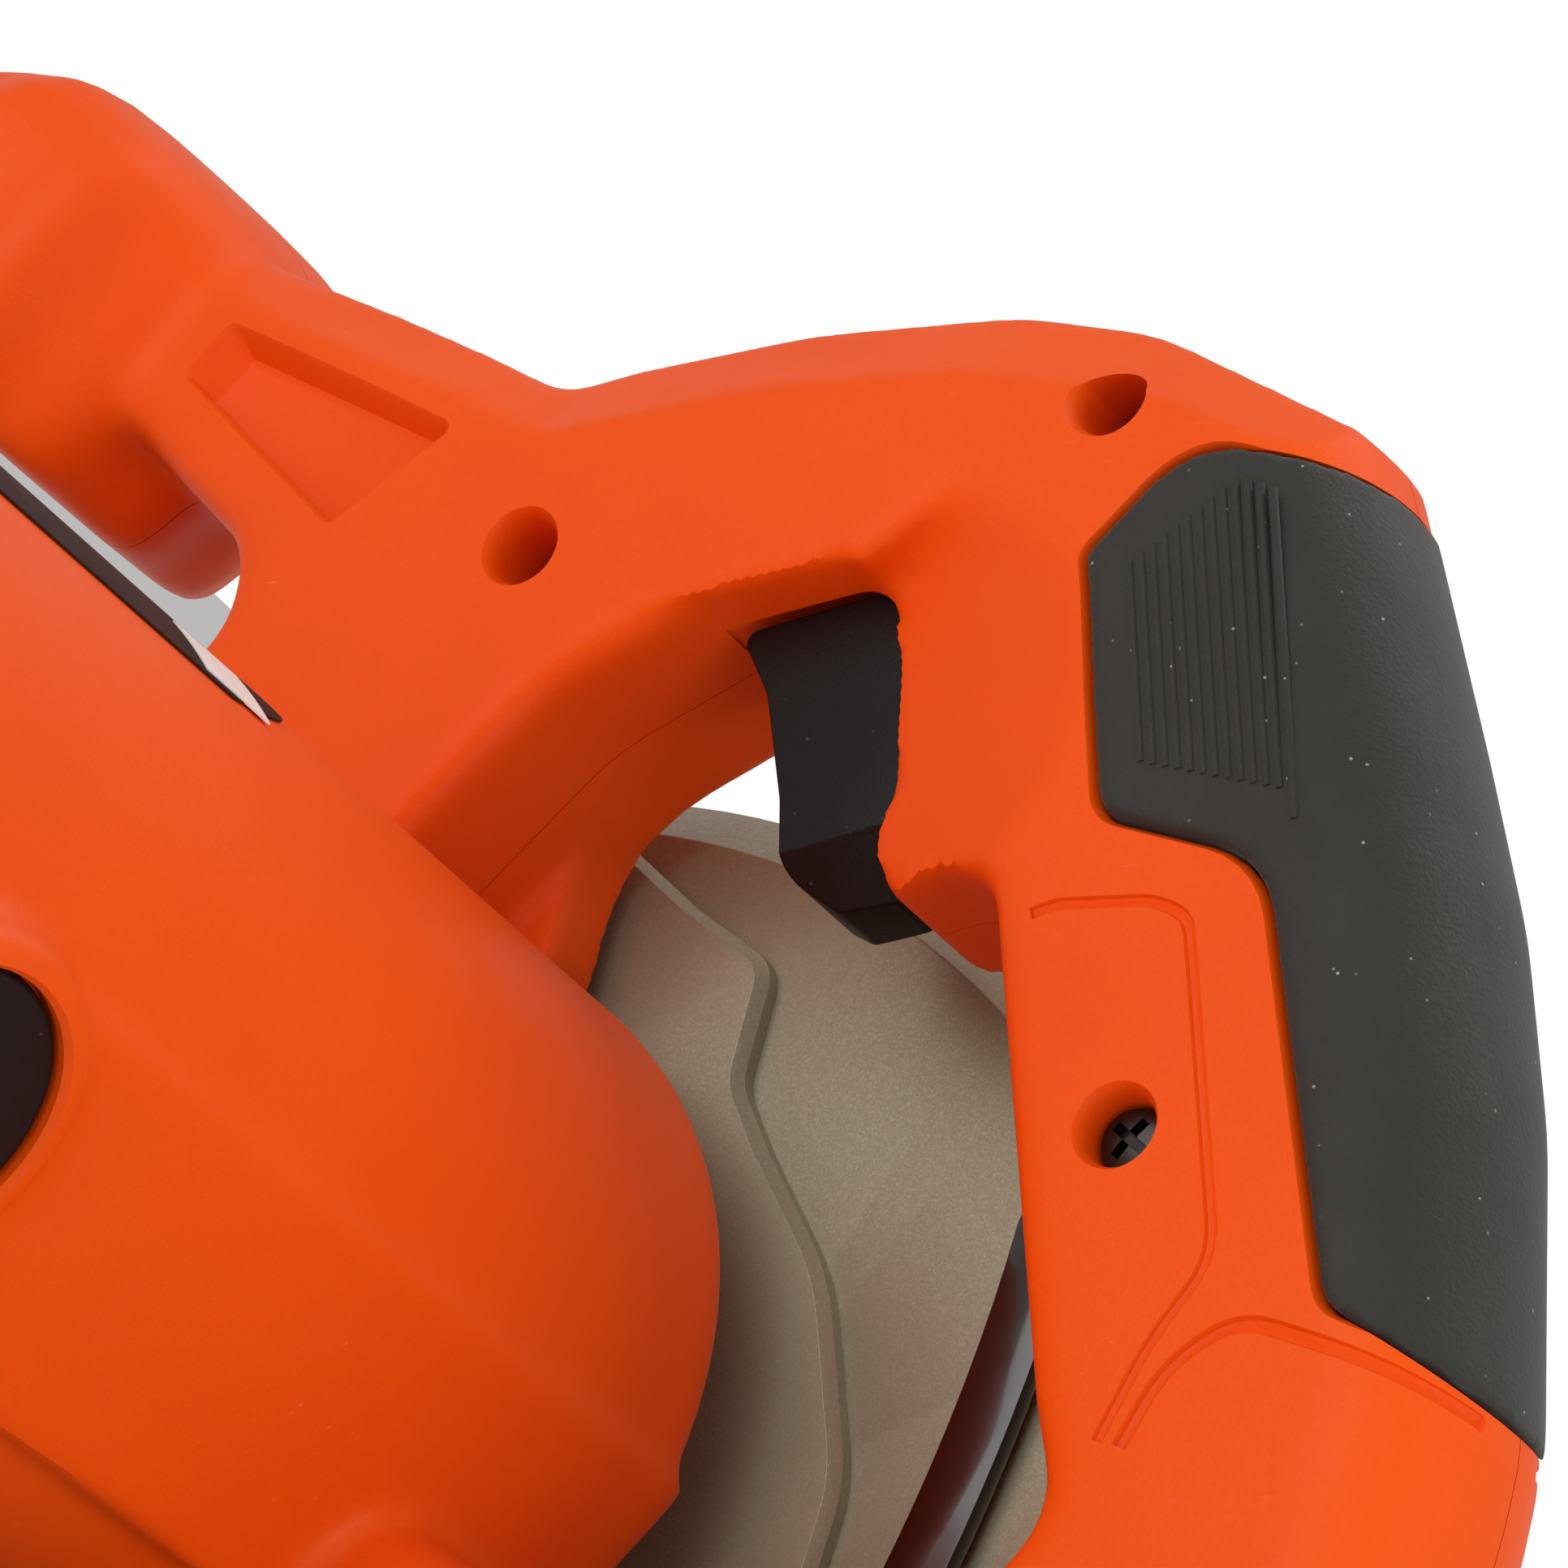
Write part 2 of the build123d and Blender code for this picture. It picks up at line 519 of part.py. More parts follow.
with BuildPart() as guard_retaining_ring:
    turned(0, SPINDLE_Z, washer(20.9, 24, -30.5, -29.5))
finish(guard_retaining_ring.part, "guard_retaining_ring")

with BuildPart() as spindle_bearings:
    turned(0, SPINDLE_Z, washer(SPINDLE_R + RUNNING, 16, -31.2, -21.2))
    turned(0, SPINDLE_Z, washer(5 + RUNNING, 11, -8, -2))
finish(spindle_bearings.part, "spindle_bearings")

GUARD_SCREW_SPOTS = [(58, 45), (-20, 62), (-30, 22), (60, 80)]

with BuildPart() as upper_guard:
    turned(0, SPINDLE_Z, [(BOSS_R + 0.1, GUARD_Y1), (94, GUARD_Y1), (GUARD_R, -28), (GUARD_R, GUARD_Y0),
                          (60, GUARD_Y0), (60, GUARD_Y0 + GUARD_WALL),
                          (GUARD_R - GUARD_WALL, GUARD_Y0 + GUARD_WALL), (GUARD_R - GUARD_WALL, -29),
                          (93, GUARD_Y1 - GUARD_WALL), (BOSS_R + 0.1, GUARD_Y1 - GUARD_WALL)])
    block(-120, 120, -60, 0, -120, GUARD_BOTTOM, mode=Mode.SUBTRACT)
    bar(BOLT_X, BOLT_Z, 4.05, -30, 0, mode=Mode.SUBTRACT)
    for x, z in GUARD_SCREW_SPOTS:
        bar(x, z, 2.5, -30, 0, mode=Mode.SUBTRACT)
finish(upper_guard.part, "upper_guard")

with BuildPart() as guard_screws:
    for x, z in GUARD_SCREW_SPOTS:
        turned(x, z, [(0, -26.2), (4, -26.2), (4, -24), (2.4, -24), (2.4, -22), (0, -22)])
finish(guard_screws.part, "guard_screws")

LOWER_A0, LOWER_A1 = -186.0, -12.0
LEVER_ANGLE = -177.0

with BuildPart() as lower_guard:
    turned(0, SPINDLE_Z, washer(BOSS_R + RUNNING, 27, -29, -27.5))
    sector(0, SPINDLE_Z, 25, LOWER_R, LOWER_A0, LOWER_A1, -29, -27.5)
    sector(0, SPINDLE_Z, LOWER_R - 1.8, LOWER_R, LOWER_A0, LOWER_A1, -49, -29)
    sector(0, SPINDLE_Z, 42, LOWER_R, LOWER_A0, LOWER_A1, -50.5, -49)
finish(lower_guard.part, "lower_guard")

with BuildPart() as guard_lever:
    x, z = polar(0, SPINDLE_Z, 48, LEVER_ANGLE)
    bar(x, z, 5, -55.4, -50.5)
    slab([(-42, 19), (-42, 30), (-114, 24), (-114, 15)], -57.4, -55.4, radius=4)
finish(guard_lever.part, "guard_lever")

with BuildPart() as guard_lever_knob:
    bar(-107, 19.4, 5.5, -62, -57.4)
    fillet(guard_lever_knob.edges().group_by(Axis.Y)[0], 1.5)
finish(guard_lever_knob.part, "guard_lever_knob")

with BuildPart() as guard_spring:
    coil((0, -26.8, SPINDLE_Z), (0, 1, 0), 24.5, 0.45, 2.0, 1.6)
finish(guard_spring.part, "guard_spring")

# ---------------------------------------------------------------- spindle and blade
with BuildPart() as spindle:
    turned(0, SPINDLE_Z, [(4, -38.7), (SPINDLE_R, -38.7), (SPINDLE_R, -10.9), (5, -10.9), (5, -2.4),
                          (0, -2.4), (0, -20), (4, -20)])
finish(spindle.part, "spindle")

with BuildPart() as drive_gear:
    toothed(0, SPINDLE_Z, GEAR_TEETH, 23.8, 21.7, MESH_ANGLE, GEAR_Y0, GEAR_Y1)
    bar(0, SPINDLE_Z, SPINDLE_R, GEAR_Y0 - 1, GEAR_Y1 + 1, mode=Mode.SUBTRACT)
    turned(0, SPINDLE_Z, washer(10, 19, GEAR_Y1 - 2, GEAR_Y1 + 1), mode=Mode.SUBTRACT)
finish(drive_gear.part, "drive_gear")

BLADE_Y0 = BLADE_Y - BLADE_T / 2
BLADE_Y1 = BLADE_Y + BLADE_T / 2
BLADE_TEETH = 24

with BuildPart() as inner_flange:
    turned(0, SPINDLE_Z, [(SPINDLE_R, -32.3), (12, -32.3), (FLANGE_R, -34.5), (FLANGE_R, BLADE_Y1),
                          (ARBOR_R - 0.04, BLADE_Y1), (ARBOR_R - 0.04, BLADE_Y0 + 0.2),
                          (SPINDLE_R, BLADE_Y0 + 0.2)])
finish(inner_flange.part, "inner_flange")

with BuildPart() as blade:
    with BuildSketch(xz(BLADE_Y1)):
        with Locations((0, SPINDLE_Z)):
            Circle(BLADE_R - 5)
            Circle(ARBOR_R, mode=Mode.SUBTRACT)
            with PolarLocations(BLADE_R - 5, BLADE_TEETH):
                Polygon((-3, -9), (5, -1.2), (3.6, 3.0), (-3, 5), align=None)
            with PolarLocations(BLADE_R - 10, 4, start_angle=20):
                SlotOverall(16, 2.2, mode=Mode.SUBTRACT)
    extrude(amount=BLADE_T)
finish(blade.part, "blade")

with BuildPart() as outer_flange:
    turned(0, SPINDLE_Z, [(4.05, BLADE_Y0), (FLANGE_R, BLADE_Y0), (FLANGE_R, -41), (13, -42.4),
                          (4.05, -42.4)])
finish(outer_flange.part, "outer_flange")

with BuildPart() as blade_bolt:
    hexagon(0, SPINDLE_Z, 13, -48, -43.4)
    bar(0, SPINDLE_Z, 9, -43.4, -42.4)
    bar(0, SPINDLE_Z, 3.95, -42.4, -22)
finish(blade_bolt.part, "blade_bolt")

with BuildPart() as spindle_lock_button:
    rod(Plane((-27.2, -14, SPINDLE_Z), z_dir=(-1, 0, 0)), 3, 18)
    rod(Plane((-45.2, -14, SPINDLE_Z), z_dir=(-1, 0, 0)), 4.6, 6)
    fillet(spindle_lock_button.edges().group_by(Axis.X)[0], 1.5)
finish(spindle_lock_button.part, "spindle_lock_button")

# ---------------------------------------------------------------- depth and bevel frame
QUAD_LOW, QUAD_HIGH = -3.5, 32.5

with BuildPart() as depth_quadrant:
    sector(DEPTH_X, DEPTH_Z, 181, 204, 180 - QUAD_HIGH, 180 - QUAD_LOW, QUAD_Y0, QUAD_Y1)
    fillet(depth_quadrant.edges().filter_by(Axis.Y).sort_by(Axis.Z)[-2:], 4)
    sector(DEPTH_X, DEPTH_Z, SLOT_R - SLOT_HALF, SLOT_R + SLOT_HALF, 180 - BOLT_ANGLE - DEPTH_TRAVEL,
           180 - BOLT_ANGLE, -25, -15, mode=Mode.SUBTRACT)
    for angle in (BOLT_ANGLE, BOLT_ANGLE + DEPTH_TRAVEL):
        x, z = polar(DEPTH_X, DEPTH_Z, SLOT_R, 180 - angle)
        bar(x, z, SLOT_HALF, -25, -15, mode=Mode.SUBTRACT)
    # foot with the barrel of the rear bevel hinge
    block(-87.6, -76, QUAD_Y0, BEVEL_Y, 6, 13)
    rod(Plane((-87.6, BEVEL_Y, BEVEL_Z), z_dir=(1, 0, 0)), 5, 11.6)
    rod(Plane((-89, BEVEL_Y, BEVEL_Z), z_dir=(1, 0, 0)), 2.5 + RUNNING, 20, mode=Mode.SUBTRACT)
finish(depth_quadrant.part, "depth_quadrant")

STUD_Y, STUD_Z = polar(BEVEL_Y, BEVEL_Z, BEVEL_R, BEVEL_START)

with BuildPart() as front_bracket:
    for y0, y1 in ((-22, -19), (-9, -6)):
        slab([(117, 6), (117, 20), (132, 22), (133.6, 22), (133.6, 6)], y0, y1, radius=[4, 4, 0, 0, 0])
    block(133.6, 146, -22, -6, 15, 22)
    block(138, 146, -6, 14, 16, 28)
    block(138, 146, -18.5, -9.5, BEVEL_Z, 15)
    rod(Plane((138, BEVEL_Y, BEVEL_Z), z_dir=(1, 0, 0)), 5, 8)
    for y0, y1 in ((-22, -19), (-9, -6)):
        block(130, 133.6, y0, y1, 15, 22)
    bar(DEPTH_X, DEPTH_Z, 4, -30, 0, mode=Mode.SUBTRACT)
    rod(Plane((137, BEVEL_Y, BEVEL_Z), z_dir=(1, 0, 0)), 2.5 + RUNNING, 10, mode=Mode.SUBTRACT)
    rod(Plane((146, STUD_Y, STUD_Z), z_dir=(1, 0, 0)), 3, 12)
finish(front_bracket.part, "front_bracket")

with BuildPart() as depth_pivot_pin:
    turned(DEPTH_X, DEPTH_Z, [(0, -24), (6, -24), (6, -22), (4, -22), (4, -5), (0, -5)])
finish(depth_pivot_pin.part, "depth_pivot_pin")

with BuildPart() as depth_bolt:
    turned(BOLT_X, BOLT_Z, [(0, -26.4), (8, -26.4), (8, -24), (4, -24), (4, -7), (0, -7)])
finish(depth_bolt.part, "depth_bolt")

with BuildPart() as depth_lever:
    bar(BOLT_X, BOLT_Z, 8.5, -17.8, -8)
    slab([(BOLT_X, BOLT_Z + 6), (-92, 25.5), (-118, 21), (-118, 13.5), (-92, 15.5), (BOLT_X, BOLT_Z - 6)],
         -17.8, -10.5, radius=[0, 8, 3, 3, 8, 0])
    bar(BOLT_X, BOLT_Z, 4 + RUNNING, -30, 0, mode=Mode.SUBTRACT)
finish(depth_lever.part, "depth_lever")

# ---------------------------------------------------------------- shoe
SLOT_X0, SLOT_X1 = -119.0, 103.0

with BuildPart() as shoe:
    block(SHOE_X0, SHOE_X1, SHOE_Y0, SHOE_Y1, 0, SHOE_T)
    fillet(shoe.edges().filter_by(Axis.Z), 8)
    block(SHOE_X0, SHOE_X0 + SHOE_T, SHOE_Y0 + 8, SHOE_Y1 - 8, SHOE_T, 8)
    block(SLOT_X0, SLOT_X1, -74, -12, -1, 20, mode=Mode.SUBTRACT)
    block(SLOT_X1 - 1, 134, -27, -2, -1, 20, mode=Mode.SUBTRACT)
    block(-36, 36, -13, -5.5, -1, 20, mode=Mode.SUBTRACT)
    block(-86, -48, -13, -8, -1, 20, mode=Mode.SUBTRACT)
    block(SLOT_X1 - 1, 112.5, -74, -41, -1, 20, mode=Mode.SUBTRACT)
    # rear tab and front tabs of the bevel hinge
    for x0, x1 in ((-92, -88), (134.4, 137.7)):
        block(x0, x1, -11.5 if x0 < 0 else -19, -3, 0.5, BEVEL_Z)
        with BuildSketch(Plane((x0, BEVEL_Y, BEVEL_Z), z_dir=(1, 0, 0))):
            Circle(5.4)
        extrude(amount=x1 - x0)
        rod(Plane((x0 - 1, BEVEL_Y, BEVEL_Z), z_dir=(1, 0, 0)), 2.5, 6, mode=Mode.SUBTRACT)
    # channel for a rip fence bar, in two staples
    for y0, y1 in ((30, 36), (66, 72)):
        block(114, 140, y0, y1, SHOE_T, CHANNEL_TOP + 3.6)
        block(118.8, 135.2, y0 - 1, y1 + 1, SHOE_T, CHANNEL_TOP, mode=Mode.SUBTRACT)
    rod(Plane((127, 33, CHANNEL_TOP - 1)), 2.5 + RUNNING, 6, mode=Mode.SUBTRACT)
finish(shoe.part, "shoe")

with BuildPart() as bevel_plate:
    with BuildSketch(Plane((147.2, 0, 0), x_dir=(0, 1, 0), z_dir=(1, 0, 0))):
        with BuildLine():
            Polyline((-6, SHOE_T), (24, SHOE_T), (24, 20), (14, 40), (-12, 46), (-22, 44), (-24, 34),
                     (-6, 26), close=True)
        make_face()
    extrude(amount=2.4)
    for step in range(10):
        angle = BEVEL_START + step * BEVEL_TRAVEL / 9
        y, z = polar(BEVEL_Y, BEVEL_Z, BEVEL_R, angle)
        rod(Plane((146, y, z), z_dir=(1, 0, 0)), 3.4, 5, mode=Mode.SUBTRACT)
finish(bevel_plate.part, "bevel_plate")

with BuildPart() as bevel_pins:
    rod(Plane((-92, BEVEL_Y, BEVEL_Z), z_dir=(1, 0, 0)), 2.5, 17)
    rod(Plane((134.4, BEVEL_Y, BEVEL_Z), z_dir=(1, 0, 0)), 2.5, 12.4)
finish(bevel_pins.part, "bevel_pins")

with BuildPart() as bevel_knob:
    with BuildSketch(Plane((150, STUD_Y, STUD_Z), z_dir=(1, 0, 0))):
        Circle(9.5)
        with PolarLocations(9.5, 8):
            Circle(1.8)
    extrude(amount=10)
    rod(Plane((149, STUD_Y, STUD_Z), z_dir=(1, 0, 0)), 3 + RUNNING, 9.5, mode=Mode.SUBTRACT)
finish(bevel_knob.part, "bevel_knob")

with BuildPart() as fence_screw:
    rod(Plane((127, 33, CHANNEL_TOP + 0.3)), 2.5, 9)
    block(118, 136, 31.8, 34.2, CHANNEL_TOP + 9.3, CHANNEL_TOP + 19.5)
    fillet(fence_screw.edges().filter_by(Axis.Y), 1.5)
finish(fence_screw.part, "fence_screw")
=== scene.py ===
"""Looks of the circular saw: moulded shells, rubber grip and finished metal around the CAD frame."""
import json
import logging
from dataclasses import dataclass
from enum import Enum
from math import atan2, ceil, cos, degrees, hypot, pi, radians, sin, sqrt, tan

import bmesh
import bpy
from mathutils import Matrix, Vector
from mathutils.bvhtree import BVHTree

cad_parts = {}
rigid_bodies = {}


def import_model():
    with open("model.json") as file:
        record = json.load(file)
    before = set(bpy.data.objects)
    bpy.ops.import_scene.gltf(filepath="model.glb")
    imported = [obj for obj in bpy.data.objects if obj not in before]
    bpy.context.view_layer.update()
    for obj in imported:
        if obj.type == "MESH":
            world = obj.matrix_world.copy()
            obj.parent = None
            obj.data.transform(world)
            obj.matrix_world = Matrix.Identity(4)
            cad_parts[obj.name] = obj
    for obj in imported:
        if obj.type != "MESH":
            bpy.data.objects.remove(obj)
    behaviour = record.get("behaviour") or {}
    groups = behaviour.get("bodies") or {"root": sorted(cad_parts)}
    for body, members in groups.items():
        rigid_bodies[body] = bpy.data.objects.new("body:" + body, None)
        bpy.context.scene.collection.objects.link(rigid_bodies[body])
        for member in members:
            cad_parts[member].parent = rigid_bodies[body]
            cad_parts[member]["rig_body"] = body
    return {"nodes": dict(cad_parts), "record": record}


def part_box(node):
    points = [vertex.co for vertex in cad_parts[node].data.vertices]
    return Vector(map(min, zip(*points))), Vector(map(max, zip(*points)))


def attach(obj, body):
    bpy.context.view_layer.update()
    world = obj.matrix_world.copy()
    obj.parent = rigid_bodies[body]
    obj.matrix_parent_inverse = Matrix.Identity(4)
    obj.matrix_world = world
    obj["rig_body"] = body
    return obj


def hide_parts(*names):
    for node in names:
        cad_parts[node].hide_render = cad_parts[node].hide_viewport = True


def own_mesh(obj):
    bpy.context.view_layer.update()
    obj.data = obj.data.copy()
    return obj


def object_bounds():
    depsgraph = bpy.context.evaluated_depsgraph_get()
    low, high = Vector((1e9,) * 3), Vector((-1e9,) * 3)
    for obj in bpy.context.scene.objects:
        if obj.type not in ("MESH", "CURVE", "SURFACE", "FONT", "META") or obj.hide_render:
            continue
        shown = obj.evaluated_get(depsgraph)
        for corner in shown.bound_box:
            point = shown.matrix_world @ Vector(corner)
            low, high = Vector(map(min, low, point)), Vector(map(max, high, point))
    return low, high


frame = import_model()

CAD_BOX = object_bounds()
MM = 0.001
LOG = logging.getLogger("saw")

Point = tuple[float, float]


# ------------------------------------------------------------------ sizes taken from the frame, in mm
def low(node: str) -> Vector:
    """Lowest corner of a CAD node, in millimetres."""
    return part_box(node)[0] / MM


def high(node: str) -> Vector:
    """Highest corner of a CAD node, in millimetres."""
    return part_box(node)[1] / MM


HANDLE_HALF = 16.5  # half the grip's thickness; the CAD node is wider, because it has the knob
MOTOR_X = (low("commutator").x + high("commutator").x) / 2
MOTOR_Z = (low("commutator").z + high("commutator").z) / 2
SPINDLE_Z = (low("blade").z + high("blade").z) / 2
BARREL_R = (high("motor_end_cover").z - low("motor_end_cover").z) / 2
BARREL_Y0 = low("motor_housing").y
BARREL_Y1 = high("motor_housing").y
BRUSH_Y = (low("brush_caps").y + high("brush_caps").y) / 2
BRUSH_CAP_R = (high("brush_caps").y - low("brush_caps").y) / 2
PULL_X, PULL_Z = -0.5812, 0.8137  # the way the trigger slides


# ------------------------------------------------------------------ small tools
def clear_selection() -> None:
    """Leave nothing selected, in object mode."""
    if bpy.context.object and bpy.context.object.mode != "OBJECT":
        bpy.ops.object.mode_set(mode="OBJECT")
    bpy.ops.object.select_all(action="DESELECT")


def pick(piece: bpy.types.Object) -> None:
    """Make this piece the only selected and active one."""
    clear_selection()
    piece.select_set(True)
    bpy.context.view_layer.objects.active = piece


def linear(hex_colour: str) -> tuple[float, float, float, float]:
    """Turn an sRGB hex colour into linear RGBA.

    Args:
        hex_colour: six hex digits after a hash.

    Returns:
        The colour as Blender's sockets take it.
    """
    parts = [int(hex_colour[i:i + 2], 16) / 255 for i in (1, 3, 5)]
    red, green, blue = [c / 12.92 if c <= 0.04045 else ((c + 0.055) / 1.055) ** 2.4 for c in parts]
    return red, green, blue, 1.0


def apply(piece: bpy.types.Object, kind: str, **settings: object) -> None:
    """Add one modifier to a piece and apply it.

    Args:
        piece: the mesh to finish.
        kind: Blender's modifier type.
        settings: values set on the modifier.
    """
    pick(piece)
    modifier = piece.modifiers.new(kind.lower(), kind)
    for name, value in settings.items():
        setattr(modifier, name, value)
    bpy.ops.object.modifier_apply(modifier=modifier.name)


def combine(piece: bpy.types.Object, tool: bpy.types.Object, operation: str) -> None:
    """Cut, join or trim a piece with a tool body, which is used up.

    Args:
        piece: the mesh that is changed.
        tool: the closed mesh that works on it.
        operation: DIFFERENCE, UNION or INTERSECT.
    """
    apply(piece, "BOOLEAN", object=tool, operation=operation, solver="EXACT")
    bpy.data.objects.remove(tool)


def joined(pieces: list[bpy.types.Object]) -> bpy.types.Object:
    """Join several meshes into the first one."""
    pick(pieces[0])
    for piece in pieces[1:]:
        piece.select_set(True)
    bpy.ops.object.join()
    return pieces[0]


def copied(piece: bpy.types.Object, name: str) -> bpy.types.Object:
    """Copy a piece with its own mesh, in the same place.

    Args:
        piece: the mesh to copy.
        name: the copy's name.

    Returns:
        The copy.
    """
    copy = bpy.data.objects.new(name, piece.data.copy())
    bpy.context.scene.collection.objects.link(copy)
    return copy


def smooth(piece: bpy.types.Object, angle: float = 40.0) -> None:
    """Shade a piece smooth, with edges sharper than the angle kept."""
    pick(piece)
    bpy.ops.object.shade_smooth_by_angle(angle=radians(angle))


def recalculate(piece: bpy.types.Object) -> None:
    """Turn all faces of a closed piece outwards."""
    pick(piece)
    bpy.ops.object.mode_set(mode="EDIT")
    bpy.ops.mesh.select_all(action="SELECT")
    bpy.ops.mesh.normals_make_consistent(inside=False)
    bpy.ops.object.mode_set(mode="OBJECT")


def loft(name: str, rings: list[list[Vector]]) -> bpy.types.Object:
    """Draw the first ring as a filled outline and extrude it from ring to ring.

    Args:
        name: the new piece's name.
        rings: outlines with the same number of points, in millimetres.

    Returns:
        The closed solid.
    """
    clear_selection()
    bpy.ops.mesh.primitive_circle_add(vertices=len(rings[0]), radius=1.0, fill_type="NGON")
    piece = bpy.context.object
    piece.name = name
    scaled = [[point * MM for point in ring] for ring in rings]
    for vertex, place in zip(piece.data.vertices, scaled[0]):
        vertex.co = place
    bpy.ops.object.mode_set(mode="EDIT")
    bpy.ops.mesh.select_all(action="SELECT")
    for before, after in zip(scaled, scaled[1:]):
        target = {tuple(old): new for old, new in zip(before, after)}
        bpy.ops.mesh.extrude_region_move()
        drawn = bmesh.from_edit_mesh(piece.data)
        for vertex in [v for v in drawn.verts if v.select]:
            vertex.co = target[tuple(vertex.co)]
        bmesh.update_edit_mesh(piece.data)
    bpy.ops.object.mode_set(mode="OBJECT")
    recalculate(piece)
    return piece


def turns(count: int) -> list[float]:
    """Angles evenly round a circle, in radians."""
    return [2 * pi * i / count for i in range(count)]


def circle(x: float, z: float, radius: float, y: float, count: int = 32) -> list[Vector]:
    """A ring of points about an axis along Y."""
    return [Vector((x + radius * cos(a), y, z + radius * sin(a))) for a in turns(count)]


def turned(name: str, x: float, z: float, profile: list[Point], count: int = 32) -> bpy.types.Object:
    """A round solid about an axis along Y, from (radius, y) pairs."""
    return loft(name, [circle(x, z, radius, y, count) for radius, y in profile])


# ------------------------------------------------------------------ outlines
class Edge(Enum):
    """How the edge that starts at a corner is rounded towards the part's sides."""

    PLAIN = "plain"
    ROUND = "round"
    FACET = "facet"
    NARROW_FACET = "narrow_facet"
    TOE = "toe"
    BACK = "back"


@dataclass(frozen=True)
class Corner:
    """One corner of a closed outline in the X-Z plane, in mm."""

    x: float
    z: float
    radius: float = 0.0
    edge: Edge = Edge.ROUND


@dataclass(frozen=True)
class Outline:
    """A closed outline, drawn anticlockwise seen from the blade side."""

    corners: tuple[Corner, ...]
    arc_step: float = 12.0

    def ring(self, y: float, insets: dict[Edge, float] | None = None, grow: float = 0.0) -> list[Vector]:
        """Points of the outline at one y, moved inwards edge by edge.

        Args:
            y: the place along Y.
            insets: how far each kind of edge moves inwards.
            grow: how far every edge moves outwards besides.

        Returns:
            The points, as many at every y.
        """
        count = len(self.corners)
        insets = insets or {}
        depth = [insets.get(corner.edge, 0.0) - grow for corner in self.corners]
        sharp = [self._shifted(i, depth) for i in range(count)]
        points: list[Vector] = []
        for i, corner in enumerate(self.corners):
            before, here, after = sharp[i - 1], sharp[i], sharp[(i + 1) % count]
            shift = (depth[i - 1] + depth[i]) / 2
            points += self._rounded(i, before, here, after, corner.radius, shift, y)
        return points

    def _direction(self, i: int) -> Point:
        """Unit direction of the edge that starts at corner i."""
        a, b = self.corners[i], self.corners[(i + 1) % len(self.corners)]
        length = hypot(b.x - a.x, b.z - a.z)
        return (b.x - a.x) / length, (b.z - a.z) / length

    def _shifted(self, i: int, depth: list[float]) -> Point:
        """Corner i after its two edges have moved inwards."""
        corner = self.corners[i]
        (ax, az), (bx, bz) = self._direction(i - 1), self._direction(i)
        cross = ax * bz - az * bx
        if abs(cross) < 0.05:
            mean = (depth[i - 1] + depth[i]) / 2
            return corner.x - bz * mean, corner.z + bx * mean
        px, pz = corner.x - az * depth[i - 1], corner.z + ax * depth[i - 1]
        qx, qz = corner.x - bz * depth[i], corner.z + bx * depth[i]
        along = ((qx - px) * bz - (qz - pz) * bx) / cross
        return px + ax * along, pz + az * along

    def _turn(self, i: int) -> float:
        """Signed turn at corner i, in degrees; left is positive."""
        (ax, az), (bx, bz) = self._direction(i - 1), self._direction(i)
        return degrees(atan2(ax * bz - az * bx, ax * bx + az * bz))

    def _rounded(self, i: int, before: Point, here: Point, after: Point, radius: float,
                 shift: float, y: float) -> list[Vector]:
        """The arc, or the single point, that stands at one corner."""
        turn = self._turn(i)
        if radius <= 0 or abs(turn) < 2:
            return [Vector((here[0], y, here[1]))]
        wanted = max(radius - shift, 0.4) if turn > 0 else radius + shift
        back = Vector((before[0] - here[0], before[1] - here[1]))
        ahead = Vector((after[0] - here[0], after[1] - here[1]))
        half = radians(abs(turn)) / 2
        reach = min(wanted * tan(half), 0.47 * back.length, 0.47 * ahead.length)
        true_radius = reach / tan(half)
        start = Vector(here) + back.normalized() * reach
        side = Vector((back.y, -back.x)).normalized() * (1 if turn > 0 else -1)
        centre = start + side * true_radius
        arm = start - centre
        steps = max(2, ceil(abs(turn) / self.arc_step))
        spots = [centre + Matrix.Rotation(radians(turn) * k / steps, 2) @ arm for k in range(steps + 1)]
        return [Vector((spot.x, y, spot.y)) for spot in spots]


def outline(*corners: tuple) -> Outline:
    """An outline from (x, z, radius, edge) tuples; radius and edge may be left out."""
    return Outline(tuple(Corner(*corner) for corner in corners))


def prism(name: str, shape: Outline, y0: float, y1: float, grow: float = 0.0) -> bpy.types.Object:
    """A straight solid of an outline from y0 to y1."""
    return loft(name, [shape.ring(y0, grow=grow), shape.ring(y1, grow=grow)])


# ------------------------------------------------------------------ materials
def add_node(tree: bpy.types.NodeTree, kind: str, settings: dict[str, object] | None = None,
             inputs: dict[str, object] | None = None) -> bpy.types.Node:
    """Add a node with its settings, values and links.

    Args:
        tree: the material's node tree.
        kind: the node's type name.
        settings: attributes of the node.
        inputs: socket name or number to a value, or to the output that feeds it.

    Returns:
        The node.
    """
    node = tree.nodes.new(kind)
    for name, value in (settings or {}).items():
        setattr(node, name, value)
    for name, value in (inputs or {}).items():
        socket = node.inputs[name]
        if isinstance(value, bpy.types.NodeSocket):
            tree.links.new(value, socket)
        else:
            socket.default_value = value
    return node


def blank(name: str) -> tuple[bpy.types.Material, bpy.types.NodeTree, bpy.types.Node,
                              bpy.types.NodeSocket]:
    """A new material, its tree, its shader and the object coordinates."""
    material = bpy.data.materials.new(name)
    material.use_nodes = True
    tree = material.node_tree
    place = add_node(tree, "ShaderNodeTexCoord").outputs["Object"]
    return material, tree, tree.nodes["Principled BSDF"], place


